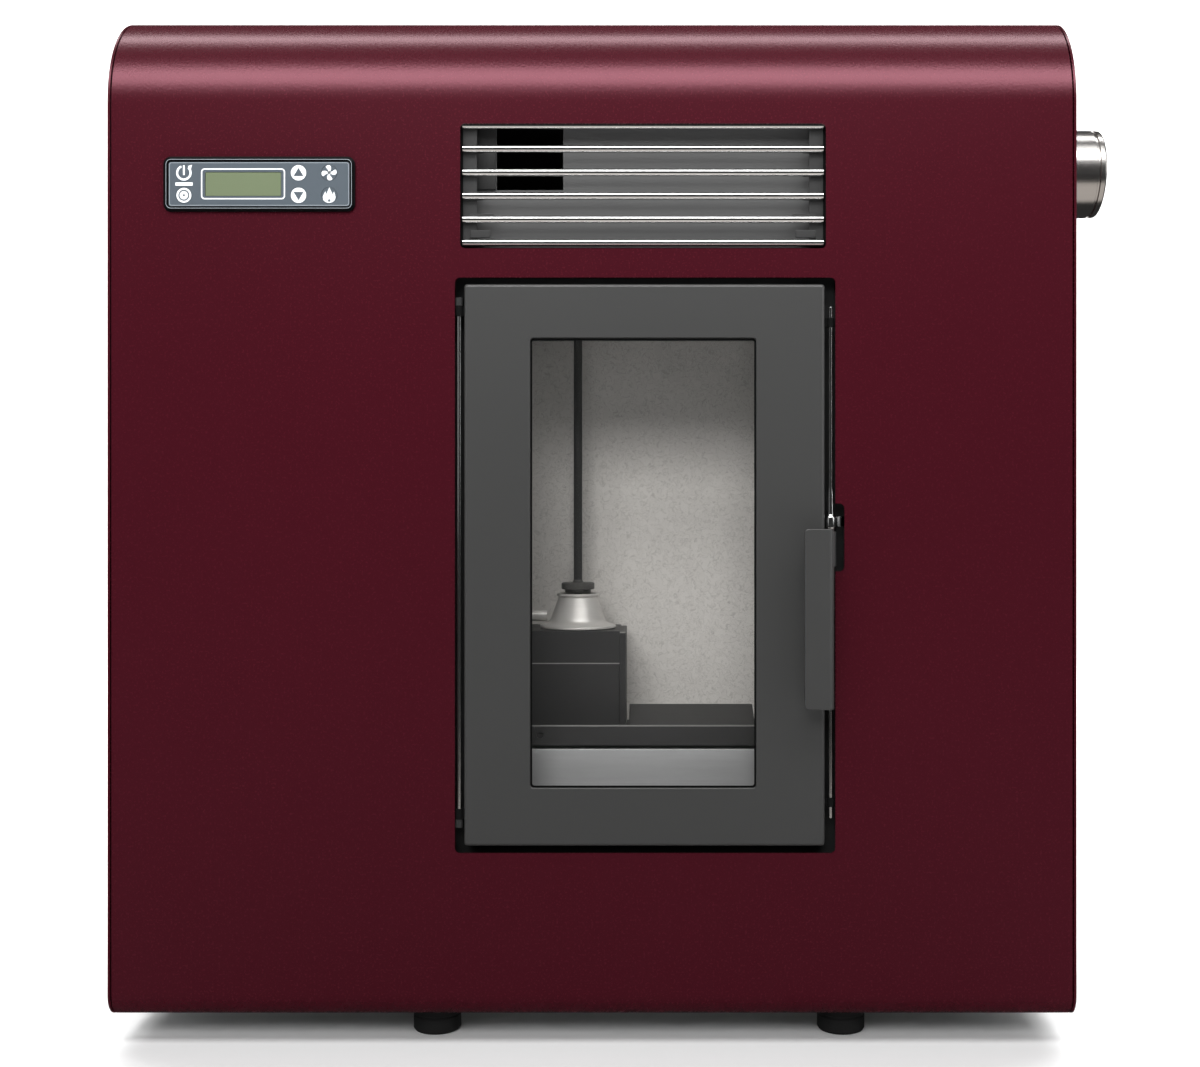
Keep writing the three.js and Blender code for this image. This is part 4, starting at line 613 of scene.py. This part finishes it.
flame_outer = [(0, -6.8), (2.9, -6.2), (4.9, -4.4), (5.7, -1.9), (5.2, 0.9), (4.3, 3.4), (3.6, 1.6),
               (2.9, 0.5), (2.3, 2.6), (1.1, 5.0), (0.3, 7.2), (-0.8, 4.7), (-1.7, 3.0), (-2.0, 1.1),
               (-2.9, 1.9), (-3.3, 3.6), (-4.7, 1.0), (-5.7, -1.5), (-5.2, -4.2), (-3.0, -6.2)]
flame_inner = [(0.0, -6.0), (1.1, -5.2), (1.3, -4.4), (0.6, -3.7), (0.1, -2.9), (-0.5, -3.8), (-1.3, -4.4),
               (-1.1, -5.2)]
for outline in (flame_outer, flame_inner):
    loop = [symbols["key_flame"].verts.new((x + a, ink_front, z + b)) for a, b in outline]
    for pair in zip(loop, loop[1:] + loop[:1]):
        symbols["key_flame"].edges.new(pair)
fill_outline(symbols["key_flame"])
for key, drawing in symbols.items():
    ink(drawing)
    dress(key + "_symbol", drawing, ink_white, key, "key_white")

printing = upright_frame((-346.0, -271.6, 755.2, 782.6, 3.2), (-344.9, -272.7, 756.3, 781.5, 2.3),
                         -2.68, -2.58, 0)
add_block(printing, -368.7, -353.4, -2.68, -2.58, 767.3, 770.2)
dress("panel_printing", printing, ink_white, "root", "key_white")

# Two thin pale rings are painted highlights: one along the foil's edge, one on the bezel's inner bevel.
rim_highlight_paint = grained_paint("rim_highlight_paint", (0.28, 0.31, 0.34), 0.4, grain=0.00002, grain_scale=900)
dress("foil_edge_highlight", upright_frame((-374.2, -215.1, 749.7, 787.8, 2.0), (-373.7, -215.6, 750.2, 787.3, 1.7),
                                -2.68, -2.6, 0), rim_highlight_paint, "root", "slate_foil")
dress("bezel_shine", upright_frame((-376.9, -212.4, 747.0, 790.5, 4.4), (-376.5, -212.8, 747.4, 790.1, 4.1),
                                   -4.05, -3.9, 0), rim_highlight_paint, "root", "gloss_black")

# The display's glass shows its unlit grey-green layer with a faint edge shadow.
lcd_green = grained_paint("lcd_green", (0.135, 0.165, 0.098), 0.22, grain=0.00001, grain_scale=900,
                          mottle=0.03)
dress("lcd_pane", upright_plate(-342.3, -275.3, 758.25, 779.25, 0.4, -2.1, 1.1, 0.2, 3), lcd_green, "root",
      "lcd", "lcd_window")
board_green = grained_paint("board_green", (0.015, 0.09, 0.035), 0.35, grain=0.00005, grain_scale=300)
paint_node(board_green, "control_board")

# ---- Warm air outlet ----
# Behind the grille hole a bent grey plate closes the warm air duct, apart from one slot; its grey is painted
# lighter than the door's, to offset the shade it lies in. Its ends turn forward into carriers, painted
# darker than the door's grey for the shade behind the sheet, that hold six polished steel rods.
door_grey = grained_paint("door_grey", (0.036, 0.036, 0.0355), 0.4, grain=0.0001, grain_scale=1500,
                          specular=0.9)
outlet = upright_frame((-129.0, 219.6, 700.2, 835.1, 0), (-87.0, -27.0, 769.0, 825.0, 0), 25.0, 26.5, 0.3, 1)
outlet_grey_painted_light = grained_paint("outlet_grey_painted_light", (0.10, 0.10, 0.10), 0.55, grain=0.0001, grain_scale=1500)
dress("outlet_plate", outlet, outlet_grey_painted_light, "root", "door_grey", "air_outlet_frame")

edge_black = grained_paint("edge_black", (0.004, 0.004, 0.004), 0.75, grain=0.0001, grain_scale=900,
                           specular=0.1)
# The carriers' grey is painted darker than the door grey, for the shade behind the cover sheet.
carrier_grey_painted_shade = grained_paint("carrier_grey_painted_shade", (0.028, 0.028, 0.028), 0.5, grain=0.0001, grain_scale=1500)
lowest_rod, rod_pitch = 718.05, 20.95
carriers = bmesh.new()
for x0, x1, web in ((-129.0, -103.0, -129.0), (193.6, 219.6, 218.1)):
    add_block(carriers, x0, x1, 9.3, 10.8, 700.2, 835.1, 0.3)
    add_block(carriers, web, web + 1.5, 9.3, 25.0, 700.2, 835.1, 0.3)
    inward = 1 if x0 < 0 else -1
    middle = x1 if x0 < 0 else x0
    for row, reach in ((1, 6), (2, 6), (3, 6), (3.9, 15), (4.6, 12), (5, 6)):
        z = lowest_rod + rod_pitch * (5 - row)
        near, far = sorted((middle - 6 * inward, middle + reach * inward))
        add_block(carriers, near, far, 7.8, 9.4, z - 3.4, z + 3.4, 0.6)
# This dark block across the plate's left end is painted shade in the upper gaps, not a part.
add_block(carriers, -116.5, -87.5, 21.0, 24.8, 769.0, 825.0, 0.4)
dress("rod_carriers", carriers, carrier_grey_painted_shade, "root", "door_grey")
# A black ring on the carriers' faces round the hole is painted shade in the gap behind the cover sheet.
gap_shade = upright_frame((-125.0, 215.6, 704.0, 831.0, 3.0), (-115.4, 206.0, 714.6, 821.4, 1.5), 9.0, 9.2,
                          0)
dress("outlet_gap_shade", gap_shade, edge_black, "root", "fibre_rope")

polished = brushed_metal("polished_steel", (0.76, 0.76, 0.76), 0.14, (0.02, 1, 1), 500.0, depth=0.00001)
polished_upright = brushed_metal("polished_upright", (0.5, 0.5, 0.5), 0.16, (1, 1, 0.02), 500.0,
                                 depth=0.00001)
for row in range(6):
    z = lowest_rod + rod_pitch * row
    rod = bmesh.new()
    cylinder(rod, 48, 3.3, 321.8, turned((45.3, 6.0, z), "Y"))
    round_edges(rod, 0.5, 2, 60)
    dress("outlet_rod_%d" % (row + 1), rod, polished, "root", "chrome", "air_rod_%d" % (row + 1))

# ---- Door ----
# A steel leaf folded into a shallow pan with rounded edges, painted matt anthracite, with a ceramic fire
# glass clamped behind its window by a screwed frame. A braided glass-fibre rope behind it seals against the
# firebox.
leaf_outline = (-113.2, 206.3, 182.6, 680.4, 3.4)
window = (-54.6, 145.5, 234.1, 632.4, 3.0)
leaf = upright_frame(leaf_outline, window, -3.0, 0.0, 0)


def on_leaf_rim(edge):
    middle = (edge.verts[0].co + edge.verts[1].co) / 2
    outside = middle.x < -100 or middle.x > 190 or middle.z < 200 or middle.z > 660
    return outside and middle.y < -2.9


round_edges(leaf, 2.9, 8, 60, only=on_leaf_rim)
round_edges(leaf, 0.9, 4, 60, only=lambda e: all(-60 < v.co.x < 150 and 230 < v.co.z < 636 for v in e.verts))
for outer_corner, inner, y0, y1 in ((2.6, (-110.2, 203.3, 185.6, 677.4, 1.0), -0.05, 15.0),
                                    (2.6, (-91.2, 184.3, 204.6, 658.4, 1.0), 12.0, 15.0)):
    ring = upright_frame((*leaf_outline[:4], outer_corner), inner, y0, y1, 0)
    join(leaf, ring)


def add_upright(bm, x, y, z0, z1, radius, segments=32, rounding=0.0):
    made = cylinder(bm, segments, radius, z1 - z0, Matrix.Translation((x, y, (z0 + z1) / 2)))
    if rounding:
        rim = [e for e in edges_of(made) if e.calc_face_angle(0) > 1]
        bevel(bm, rim, rounding, 3)


dress("door_leaf", leaf, door_grey, "door", "door_grey", "door_frame", flat_front=True)
knuckles = bmesh.new()
for z in (205.8, 652.2):
    add_upright(knuckles, -118.0, 2.0, z, z + 9, 3.4, rounding=0.4)
    add_block(knuckles, -118.0, -111.5, 0.9, 5.4, z, z + 9, 0.3)
for z in (216.3, 642.7):
    add_upright(knuckles, 212.1, 4.0, z, z + 8, 3.4, rounding=0.4)
    add_block(knuckles, 204.8, 212.1, 2.9, 7.4, z, z + 8, 0.3)
dress("door_knuckles", knuckles, edge_black, "door", "door_grey")

dress("window_tape", upright_frame((-66.0, 157.0, 223.0, 643.0, 2.0), (-53.0, 143.9, 235.7, 630.8, 2.0),
                                   -0.2, 0.25, 0), edge_black, "door", "fibre_rope")

fire_glass = bpy.data.materials.new("fire_glass")
fire_glass.use_nodes = True
glass_shader = fire_glass.node_tree.nodes["Principled BSDF"]
glass_shader.inputs["Base Color"].default_value = (0.03, 0.032, 0.03, 1)
glass_shader.inputs["Roughness"].default_value = 0.03
glass_shader.inputs["IOR"].default_value = 1.5
glass_place = fire_glass.node_tree.nodes.new("ShaderNodeTexCoord")
haze = texture_node(fire_glass.node_tree, "ShaderNodeTexNoise", Scale=9.0, Detail=4.0)
veil = range_node(fire_glass.node_tree, 0.05, 0.09)
wire(glass_place, "Object", haze, "Vector")
wire(haze, "Fac", veil, "Value")
wire(veil, "Result", glass_shader, "Alpha")
dress("fire_pane", upright_plate(-69.6, 160.5, 219.1, 647.4, 2.0, 0.3, 4.3, 0.5, 4), fire_glass, "door",
      "glass", "door_glass")

clamp = upright_frame((-78.6, 169.5, 210.1, 656.4, 2.0), (-59.6, 150.5, 229.1, 637.4, 1.5), 4.6, 7.6, 0.4, 4)
for x in (-69, 160):
    for z in (222, 360, 506, 644):
        bmesh.ops.create_uvsphere(clamp, u_segments=20, v_segments=10, radius=4,
                                  matrix=Matrix.Translation((x, 7.6, z)) @ Matrix.Diagonal((1, 0.5, 1, 1)))
dress("glass_clamp", clamp, black_paint, "door", "black_paint", "glass_retainer")

# The rope's braid is drawn by two slanting wave patterns across each other.
rope_fibre, rope_shader = simple_material("rope_fibre", (0.03, 0.03, 0.03), 0.95)
rope_place = rope_fibre.node_tree.nodes.new("ShaderNodeTexCoord")
braids = []
for slant in (45, -45):
    slanted = rope_fibre.node_tree.nodes.new("ShaderNodeMapping")
    slanted.inputs["Rotation"].default_value = (0, math.radians(slant), 0)
    wave = texture_node(rope_fibre.node_tree, "ShaderNodeTexWave", Scale=110.0, Distortion=0.6)
    wire(rope_place, "Object", slanted, "Vector")
    wire(slanted, "Vector", wave, "Vector")
    braids.append(wave)
crossing = rope_fibre.node_tree.nodes.new("ShaderNodeMath")
crossing.operation = "MAXIMUM"
rope_bump = texture_node(rope_fibre.node_tree, "ShaderNodeBump", Strength=0.8, Distance=0.0008)
rope_tone = rope_fibre.node_tree.nodes.new("ShaderNodeMix")
rope_tone.data_type = "RGBA"
rope_tone.inputs[6].default_value = (0.010, 0.010, 0.010, 1)
rope_tone.inputs[7].default_value = (0.055, 0.052, 0.048, 1)
for socket, wave in enumerate(braids):
    wire(wave, "Fac", crossing, socket)
wire(crossing, "Value", rope_bump, "Height")
wire(crossing, "Value", rope_tone, 0)
wire(rope_tone, 2, rope_shader, "Base Color")
wire(rope_bump, "Normal", rope_shader, "Normal")
dress("door_rope", upright_frame((-108.2, 201.3, 187.6, 675.4, 8.0), (-100.2, 193.3, 195.6, 667.4, 4.0),
                                 15.3, 21.7, 2.4, 6), rope_fibre, "door", "fibre_rope", "door_rope_gasket")

# ---- Door rods, latch and handle ----
# The door swings on a polished upright rod at its left. At its right a second rod turns in the door and
# carries a knuckle, which a sprung steel leaf grips, and the folded sheet handle.
hinge_rod = bmesh.new()
add_upright(hinge_rod, -118.0, 2.0, 198.5, 668.5, 2.0, 40, 0.5)
dress("hinge_pin", hinge_rod, polished_upright, "root", "chrome", "door_hinge_rod")

latch = lathe([(0.0, 206.3), (1.6, 206.3), (2.0, 206.8), (2.0, 462.6), (3.6, 463.0), (4.6, 463.9),
               (4.9, 465.2), (4.9, 472.4), (4.4, 474.2), (3.3, 475.6), (3.0, 476.6), (3.0, 492.0),
               (2.7, 496.0), (2.0, 500.0), (2.0, 660.2), (1.6, 660.7), (0.0, 660.7)], (212.1, 4.0, 0), 48)
dress("latch_bar", latch, polished_upright, "handle", "chrome", "latch_rod", crease=50)

keeper = bmesh.new()
keeper.faces.new([keeper.verts.new((x, y, 465.25)) for x, y in (
    (217.3, 1.4), (219.7, -0.4), (220.9, -0.4), (218.5, 2.8), (218.5, 20.5), (227.3, 20.5), (227.3, 21.7),
    (217.3, 21.7))])
thicken(keeper, 0, 0, 9)
round_edges(keeper, 0.4, 2, 25)
dress("latch_spring", keeper, polished_upright, "root", "chrome", "latch_keeper")

grip_left, grip_right, grip_front, grip_low, grip_high = 185.0, 211.1, -35.0, 307.4, 464.0
handle = bmesh.new()
handle.faces.new([handle.verts.new((x, y, grip_low)) for x, y in (
    (grip_left, grip_front), (grip_right, grip_front), (grip_right, -23.0), (207.1, -23.0), (207.1, -31.0),
    (grip_left, -31.0))])
thicken(handle, 0, 0, grip_high - grip_low)


def standing_edge(x, y):
    return [e for e in handle.edges if all(abs(v.co.x - x) < 0.01 and abs(v.co.y - y) < 0.01
                                           for v in e.verts)]


bevel(handle, standing_edge(207.1, -31.0), 1.6, 5)
bevel(handle, standing_edge(grip_right, grip_front), 5.0, 10)
corners = [e for e in handle.edges if all(abs(v.co.x - grip_left) < 0.01 for v in e.verts)
           and abs(e.verts[0].co.z - e.verts[1].co.z) < 0.01]
corners += [e for e in handle.edges if all(abs(v.co.y + 23.0) < 0.01 for v in e.verts)
            and abs(e.verts[0].co.z - e.verts[1].co.z) < 0.01]
bevel(handle, corners, 4.0, 8)
round_edges(handle, 0.9, 3, 50)
add_block(handle, 207.1, 211.1, -33.0, 4.0, 430.0, 461.0, 1.0, 3)
add_upright(handle, 212.1, 4.0, 430.0, 461.0, 5.0, 40, 0.6)
dress("handle_grip", handle, door_grey, "handle", "door_grey", "door_handle")

# ---- Firebox lining, shelf and ash drawer ----
# The back of the welded firebox is lined with a pressed mineral board, pale and flecked, painted darker
# towards the top for shade. A black sheet baffle lies above it. A cast shelf carries the burner over a
# zinc-coated ash drawer.
board_material, board_shader = simple_material("mineral_board", (0.35, 0.33, 0.30), 0.95)
board_tree = board_material.node_tree
board_place = board_tree.nodes.new("ShaderNodeTexCoord")
worms = texture_node(board_tree, "ShaderNodeTexNoise", Scale=165.0, Detail=1.0, Roughness=0.5,
                     Distortion=1.0)
flakes = texture_node(board_tree, "ShaderNodeTexVoronoi", Scale=260.0)
clouds = texture_node(board_tree, "ShaderNodeTexNoise", Scale=7.0, Detail=4.0)
height = board_tree.nodes.new("ShaderNodeSeparateXYZ")
# Painted shade: the board darkens in patches towards its top.
top_shade = range_node(board_tree, 0.0, 0.75)
top_shade.inputs["From Min"].default_value = 0.5
top_shade.inputs["From Max"].default_value = 0.66
ramp = board_tree.nodes.new("ShaderNodeValToRGB")
ramp.color_ramp.elements[0].position = 0.46
ramp.color_ramp.elements[0].color = (0.74, 0.71, 0.67, 1)
ramp.color_ramp.elements[1].position = 0.54
ramp.color_ramp.elements[1].color = (0.76, 0.73, 0.69, 1)
groove = ramp.color_ramp.elements.new(0.5)
groove.color = (0.58, 0.555, 0.52, 1)
flecks = board_tree.nodes.new("ShaderNodeValToRGB")
flecks.color_ramp.elements[0].position = 0.06
flecks.color_ramp.elements[0].color = (0.55, 0.53, 0.5, 1)
flecks.color_ramp.elements[1].position = 0.16
flecks.color_ramp.elements[1].color = (1, 1, 1, 1)
flecked = board_tree.nodes.new("ShaderNodeMix")
flecked.data_type = "RGBA"
flecked.blend_type = "MULTIPLY"
flecked.inputs[0].default_value = 0.6
top_shaded = board_tree.nodes.new("ShaderNodeMix")
top_shaded.data_type = "RGBA"
top_shaded.inputs[7].default_value = (0.045, 0.042, 0.04, 1)
drifted = board_tree.nodes.new("ShaderNodeMath")
drifted.operation = "MULTIPLY"
board_bump = texture_node(board_tree, "ShaderNodeBump", Strength=0.35, Distance=0.0006)
for noise in (worms, flakes, clouds):
    wire(board_place, "Object", noise, "Vector")
wire(board_place, "Object", height, "Vector")
wire(height, "Z", top_shade, "Value")
wire(worms, "Fac", ramp, "Fac")
wire(flakes, "Distance", flecks, "Fac")
wire(ramp, "Color", flecked, 6)
wire(flecks, "Color", flecked, 7)
wire(top_shade, "Result", drifted, 0)
wire(clouds, "Fac", drifted, 1)
wire(drifted, "Value", top_shaded, 0)
wire(flecked, 2, top_shaded, 6)
wire(top_shaded, 2, board_shader, "Base Color")
wire(worms, "Fac", board_bump, "Height")
wire(board_bump, "Normal", board_shader, "Normal")
paint_node(board_material, "back_liner")

cast_iron = grained_paint("cast_iron", (0.036, 0.035, 0.035), 0.45, grain=0.00012, grain_scale=900,
                          mottle=0.2, specular=0.5)
paint_node(cast_iron, "baffle_plate")


def pierced_plate(outline, holes, y0, y1, rounding=0.3):
    """An upright plate, x0, x1, z0, z1, corner radius, with round holes given as x, z, radius."""
    bm = bmesh.new()
    flat_outline(bm, *outline, y0)
    for x, z, radius in holes:
        bmesh.ops.create_circle(bm, segments=32, radius=radius,
                                matrix=turned((x, y0, z), "X"))
    fill_outline(bm)
    thicken(bm, 0, y1 - y0, 0)
    if rounding:
        round_edges(bm, rounding, 2, 60)
    return bm


shelf = pierced_plate((-95.7, 187.7, 261.5, 280.5, 1.5), [(-50.4, 271.2, 3.2)], 60.0, 63.0, 0.8)
add_block(shelf, -95.7, 187.7, 62.5, 118.0, 261.5, 264.5, 0.4)
add_block(shelf, -95.7, 40.0, 118.0, 142.0, 261.5, 264.5)
add_block(shelf, 146.0, 187.7, 118.0, 142.0, 261.5, 264.5)
add_block(shelf, -95.7, 187.7, 142.0, 204.4, 261.5, 264.5, 0.4)
dress("ash_shelf", shelf, cast_iron, "root", "cast_iron", "ash_bar")

# Thin pale strips along the shelf's top edge, the burner box's seam and its right flange are painted
# highlights, where light catches these edges.
edge_highlight_paint = brushed_metal("edge_highlight_paint", (0.40, 0.39, 0.37), 0.4, (0.1, 1, 1), 400.0, metallic=0.4)
edge_highlights = bmesh.new()
add_block(edge_highlights, -95.5, 187.5, 59.8, 60.3, 279.2, 280.2)
add_block(edge_highlights, -95.5, 22.4, 109.8, 110.4, 331.6, 332.5)
add_block(edge_highlights, 22.3, 28.1, 111.2, 111.7, 361.0, 362.2)
dress("edge_highlight_strips", edge_highlights, edge_highlight_paint, "root", "cast_iron")

slope = bmesh.new()
slope.faces.new([slope.verts.new((31.5, y, z)) for y, z in (
    (110.0, 264.8), (112.0, 264.8), (112.0, 271.0), (148.0, 286.0), (148.0, 264.8), (150.0, 264.8),
    (150.0, 288.0), (110.0, 273.0))])
thicken(slope, 121.0, 0, 0)
round_edges(slope, 0.6, 3, 25)
dress("ash_slope", slope, cast_iron, "root", "cast_iron", "ash_plate")

drawer_zinc = brushed_metal("drawer_zinc", (0.46, 0.46, 0.46), 0.5, (0.06, 1, 1), 260.0, metallic=0.3)
drawer = bmesh.new()
add_block(drawer, -87.0, 179.0, 52.0, 56.0, 194.3, 259.3, 0.9, 3)
add_block(drawer, -87.0, 179.0, 55.5, 200.0, 194.3, 196.3, 0.4)
add_block(drawer, -87.0, 179.0, 198.0, 200.0, 195.0, 259.3, 0.5)
add_block(drawer, -87.0, -85.0, 55.5, 199.0, 195.0, 259.3, 0.5)
add_block(drawer, 177.0, 179.0, 55.5, 199.0, 195.0, 259.3, 0.5)
dress("ash_tray", drawer, drawer_zinc, "root", "galvanised", "ash_drawer")

# ---- Burner ----
# A cast iron box holds the pellets. They rise through a spun stainless throat, over which a cast collar
# hangs on the agitator's rod and turns. The igniter is a steel tube that reaches in from the left.
burner = bmesh.new()
add_block(burner, -95.7, 22.6, 110.0, 190.0, 264.8, 332.4, 1.2, 3)
add_block(burner, 22.0, 28.4, 111.5, 189.0, 264.8, 362.0, 0.8, 3)
add_block(burner, -95.7, 22.6, 110.8, 190.0, 332.8, 363.1, 0.5, 3)
add_block(burner, -95.0, 22.0, 111.0, 189.0, 331.0, 334.0)
dress("burner_casting", burner, cast_iron, "root", "cast_iron", "burner_box")

spun_steel = brushed_metal("spun_steel", (0.62, 0.60, 0.57), 0.38, (0.15, 0.15, 1), 420.0, 0.4, 0.0001)


agitator_spot = (-19.4, 150.0, 0)
throat = lathe([(17.5, 363.4), (36.8, 363.4), (37.4, 363.9), (37.4, 365.6), (36.6, 366.4), (31.5, 367.6),
                (28.6, 369.3), (27.0, 371.6), (25.9, 374.6), (22.4, 384.0), (19.3, 392.6), (19.1, 393.6),
                (20.2, 394.4), (20.7, 395.4), (20.4, 396.8), (19.4, 397.3), (17.9, 397.2), (17.5, 396.4),
                (17.5, 363.4)], agitator_spot)
dress("burner_throat", throat, spun_steel, "root", "stainless", "burner_cone", crease=50)

agitator = lathe([(0.0, 373.7), (3.8, 373.7), (4.2, 374.2), (4.2, 694.0), (0.0, 694.0)], agitator_spot)
dress("agitator_shaft", agitator, cast_iron, "agitator", "cast_iron", "agitator_rod", crease=50)
cast_collar = grained_paint("cast_collar", (0.075, 0.072, 0.068), 0.4, grain=0.0001, grain_scale=900,
                            mottle=0.15)
collar = lathe([(3.9, 397.7), (12.2, 397.7), (12.6, 398.2), (12.8, 400.9), (15.8, 401.3), (16.3, 401.9),
                (16.3, 406.6), (15.7, 407.4), (14.8, 407.7), (6.4, 407.7), (5.4, 408.2), (4.3, 410.4),
                (3.9, 410.4), (3.9, 397.7)], agitator_spot)
dress("agitator_collar", collar, cast_collar, "agitator", "cast_iron", crease=50)

igniter = bmesh.new()
cylinder(igniter, 40, 5.4, 46.2, turned((-72.6, 150, 375), "Y"))
end = [f for f in igniter.faces if len(f.verts) > 4 and f.calc_center_median().x > -60]
bmesh.ops.inset_region(igniter, faces=end, thickness=1.3)
mouth_face = [f for f in igniter.faces if len(f.verts) > 4 and f.calc_center_median().x > -60]
pushed = bmesh.ops.extrude_face_region(igniter, geom=mouth_face)
bmesh.ops.translate(igniter, vec=(-9, 0, 0), verts=verts_of(pushed))
bmesh.ops.delete(igniter, geom=mouth_face, context="FACES_ONLY")
dress("igniter_tube", igniter, spun_steel, "root", "stainless", "igniter")

# ---- Flue and exhaust fan ----
# A stainless tube of standard flue size rises from the exhaust fan, turns and ends in a stub with a rolled
# rim that takes the house's flue pipe. It has fine lines round it from polishing.
flue_steel = brushed_metal("flue_steel", (0.56, 0.54, 0.52), 0.24, (0.03, 1, 1), 700.0, depth=0.00004)


def pipe_wall(radius):
    """The pipe's surface at one radius, from the riser's foot round the elbow to the rolled rim."""
    bm = bmesh.new()
    foot = bmesh.ops.create_circle(bm, segments=96, radius=radius,
                                   matrix=Matrix.Translation((330, 135, 317)))
    reach = edges_of(foot)
    risen = draw_out(bm, reach, 0, 0, 427.7)
    rim = [item for item in risen["geom"] if isinstance(item, bmesh.types.BMEdge)
           and all(abs(v.co.z - 744.7) < 0.01 for v in item.verts)]
    bmesh.ops.spin(bm, geom=rim, cent=(392, 135, 744.7), axis=(0, 1, 0), angle=math.radians(90), steps=28,
                   use_merge=False, use_duplicate=False)
    rim = [e for e in bm.edges if all(abs(v.co.x - 392) < 0.01 for v in e.verts)]
    at, size = 392.0, radius
    for x, growth in ((475.0, 0.0), (477.4, 0.0), (477.7, -0.4), (477.9, -1.7), (480.1, -1.7), (480.3, -0.5),
                      (480.6, -0.2), (484.4, -0.3), (485.5, -0.7), (486.0, -1.4)):
        grown = bmesh.ops.extrude_edge_only(bm, edges=rim)
        ring = verts_of(grown)
        bmesh.ops.translate(bm, vec=(x - at, 0, 0), verts=ring)
        factor = (radius + growth) / size
        centred = Matrix.Translation((-x, -135, -806.7))
        bmesh.ops.scale(bm, vec=(1, factor, factor), space=centred, verts=ring)
        at, size = x, radius + growth
        rim = [item for item in grown["geom"] if isinstance(item, bmesh.types.BMEdge)
               and all(abs(v.co.x - x) < 0.01 for v in item.verts)]
    return bm


pipe = pipe_wall(42.0)
face_outward(pipe, 1, -1)
bmesh.ops.solidify(pipe, geom=list(pipe.faces), thickness=2.0)
dress("flue_tube", pipe, flue_steel, "root", "stainless", "flue_pipe", crease=45)

# ---- Combustion air pipe ----
# A zinc-coated tube leads outside air from the back of the casing into the burner box. It stands out of
# the rear panel and is open at both ends.
air_pipe = bmesh.new()
start = bmesh.ops.create_circle(air_pipe, segments=72, radius=25, matrix=turned((-40, 190.3, 300), "X"))
rim = edges_of(start)
draw_out(air_pipe, rim, 0, 117.7, 0)
face_outward(air_pipe, 0, 1)
bmesh.ops.solidify(air_pipe, geom=list(air_pipe.faces), thickness=1.5)
round_edges(air_pipe, 0.4, 2, 60)
dress("air_tube", air_pipe, zinc_sheet, "root", "galvanised", "air_inlet_pipe")

# ---- Mains inlet and switch ----
# A moulded three-pin inlet and a rocker switch sit in the rear panel, the switch above the inlet. No lead
# is plugged in.
inlet = upright_frame((332.0, 368.0, 104.0, 136.0, 3.0), (338.0, 362.0, 110.0, 130.0, 4.0), 280.3, 282.3,
                      0.5)
walls = upright_frame((336.0, 364.0, 108.0, 132.0, 3.0), (338.0, 362.0, 110.0, 130.0, 2.5), 262.0, 280.5, 0)
join(inlet, walls)
add_block(inlet, 336.5, 363.5, 262.0, 268.3, 108.5, 131.5, 0.5)
dress("inlet_body", inlet, gloss_black, "root", "gloss_black", "mains_inlet")
contact_steel = brushed_metal("contact_steel", (0.72, 0.70, 0.66), 0.3, (1, 0.2, 1), 400.0)
pins = bmesh.new()
for x, z in ((343.0, 118.0), (350.0, 123.0), (357.0, 118.0)):
    add_block(pins, x - 1.0, x + 1.0, 268.0, 280.0, z - 2.0, z + 2.0, 0.4)
dress("inlet_pins", pins, contact_steel, "root", "chrome")

rocker = bmesh.new()
pivot = Matrix.Translation((350.0, 279.25, 166.0)) @ Matrix.Rotation(math.radians(-8), 4, "X")
body = bmesh.ops.create_cube(rocker, size=1, matrix=pivot @ Matrix.Translation((0, -0.5, 0))
                             @ Matrix.Diagonal((19, 7, 24, 1)))
rims = edges_of(body)
bevel(rocker, rims, 0.9, 3)
dress("rocker_cap", rocker, gloss_black, "rocker", "gloss_black", "rocker_switch")
marks = bmesh.new()
bmesh.ops.create_cube(marks, size=1, matrix=pivot @ Matrix.Translation((0, 3.0, 6))
                      @ Matrix.Diagonal((1, 0.12, 5, 1)))
hoop = bmesh.ops.create_circle(marks, segments=32, radius=2.6, matrix=pivot @ turned((0, 3.0, -6), "X"))
hoop_edges = edges_of(hoop)
grown = bmesh.ops.extrude_edge_only(marks, edges=hoop_edges)
inner = verts_of(grown)
bmesh.ops.scale(marks, vec=(0.65, 0.65, 0.65), verts=inner,
                space=(pivot @ Matrix.Translation((0, 3.0, -6))).inverted())
dress("rocker_marks", marks, ink_white, "rocker", "key_white")

# ---- Machinery inside ----
# The screw conveyor, gearmotors, fans and their housings are bought parts in bare or painted metal. They
# stay as they were built, each in its own finish.
cast_aluminium = brushed_metal("cast_aluminium", (0.50, 0.50, 0.51), 0.45, (1, 1, 1), 160.0, depth=0.0002)
paint_node(cast_aluminium, "agitator_gearmotor", "auger_gearmotor")
turned_steel = brushed_metal("turned_steel", (0.55, 0.54, 0.52), 0.32, (0.05, 1, 1), 500.0)
paint_node(turned_steel, "auger_screw", "exhaust_impeller")
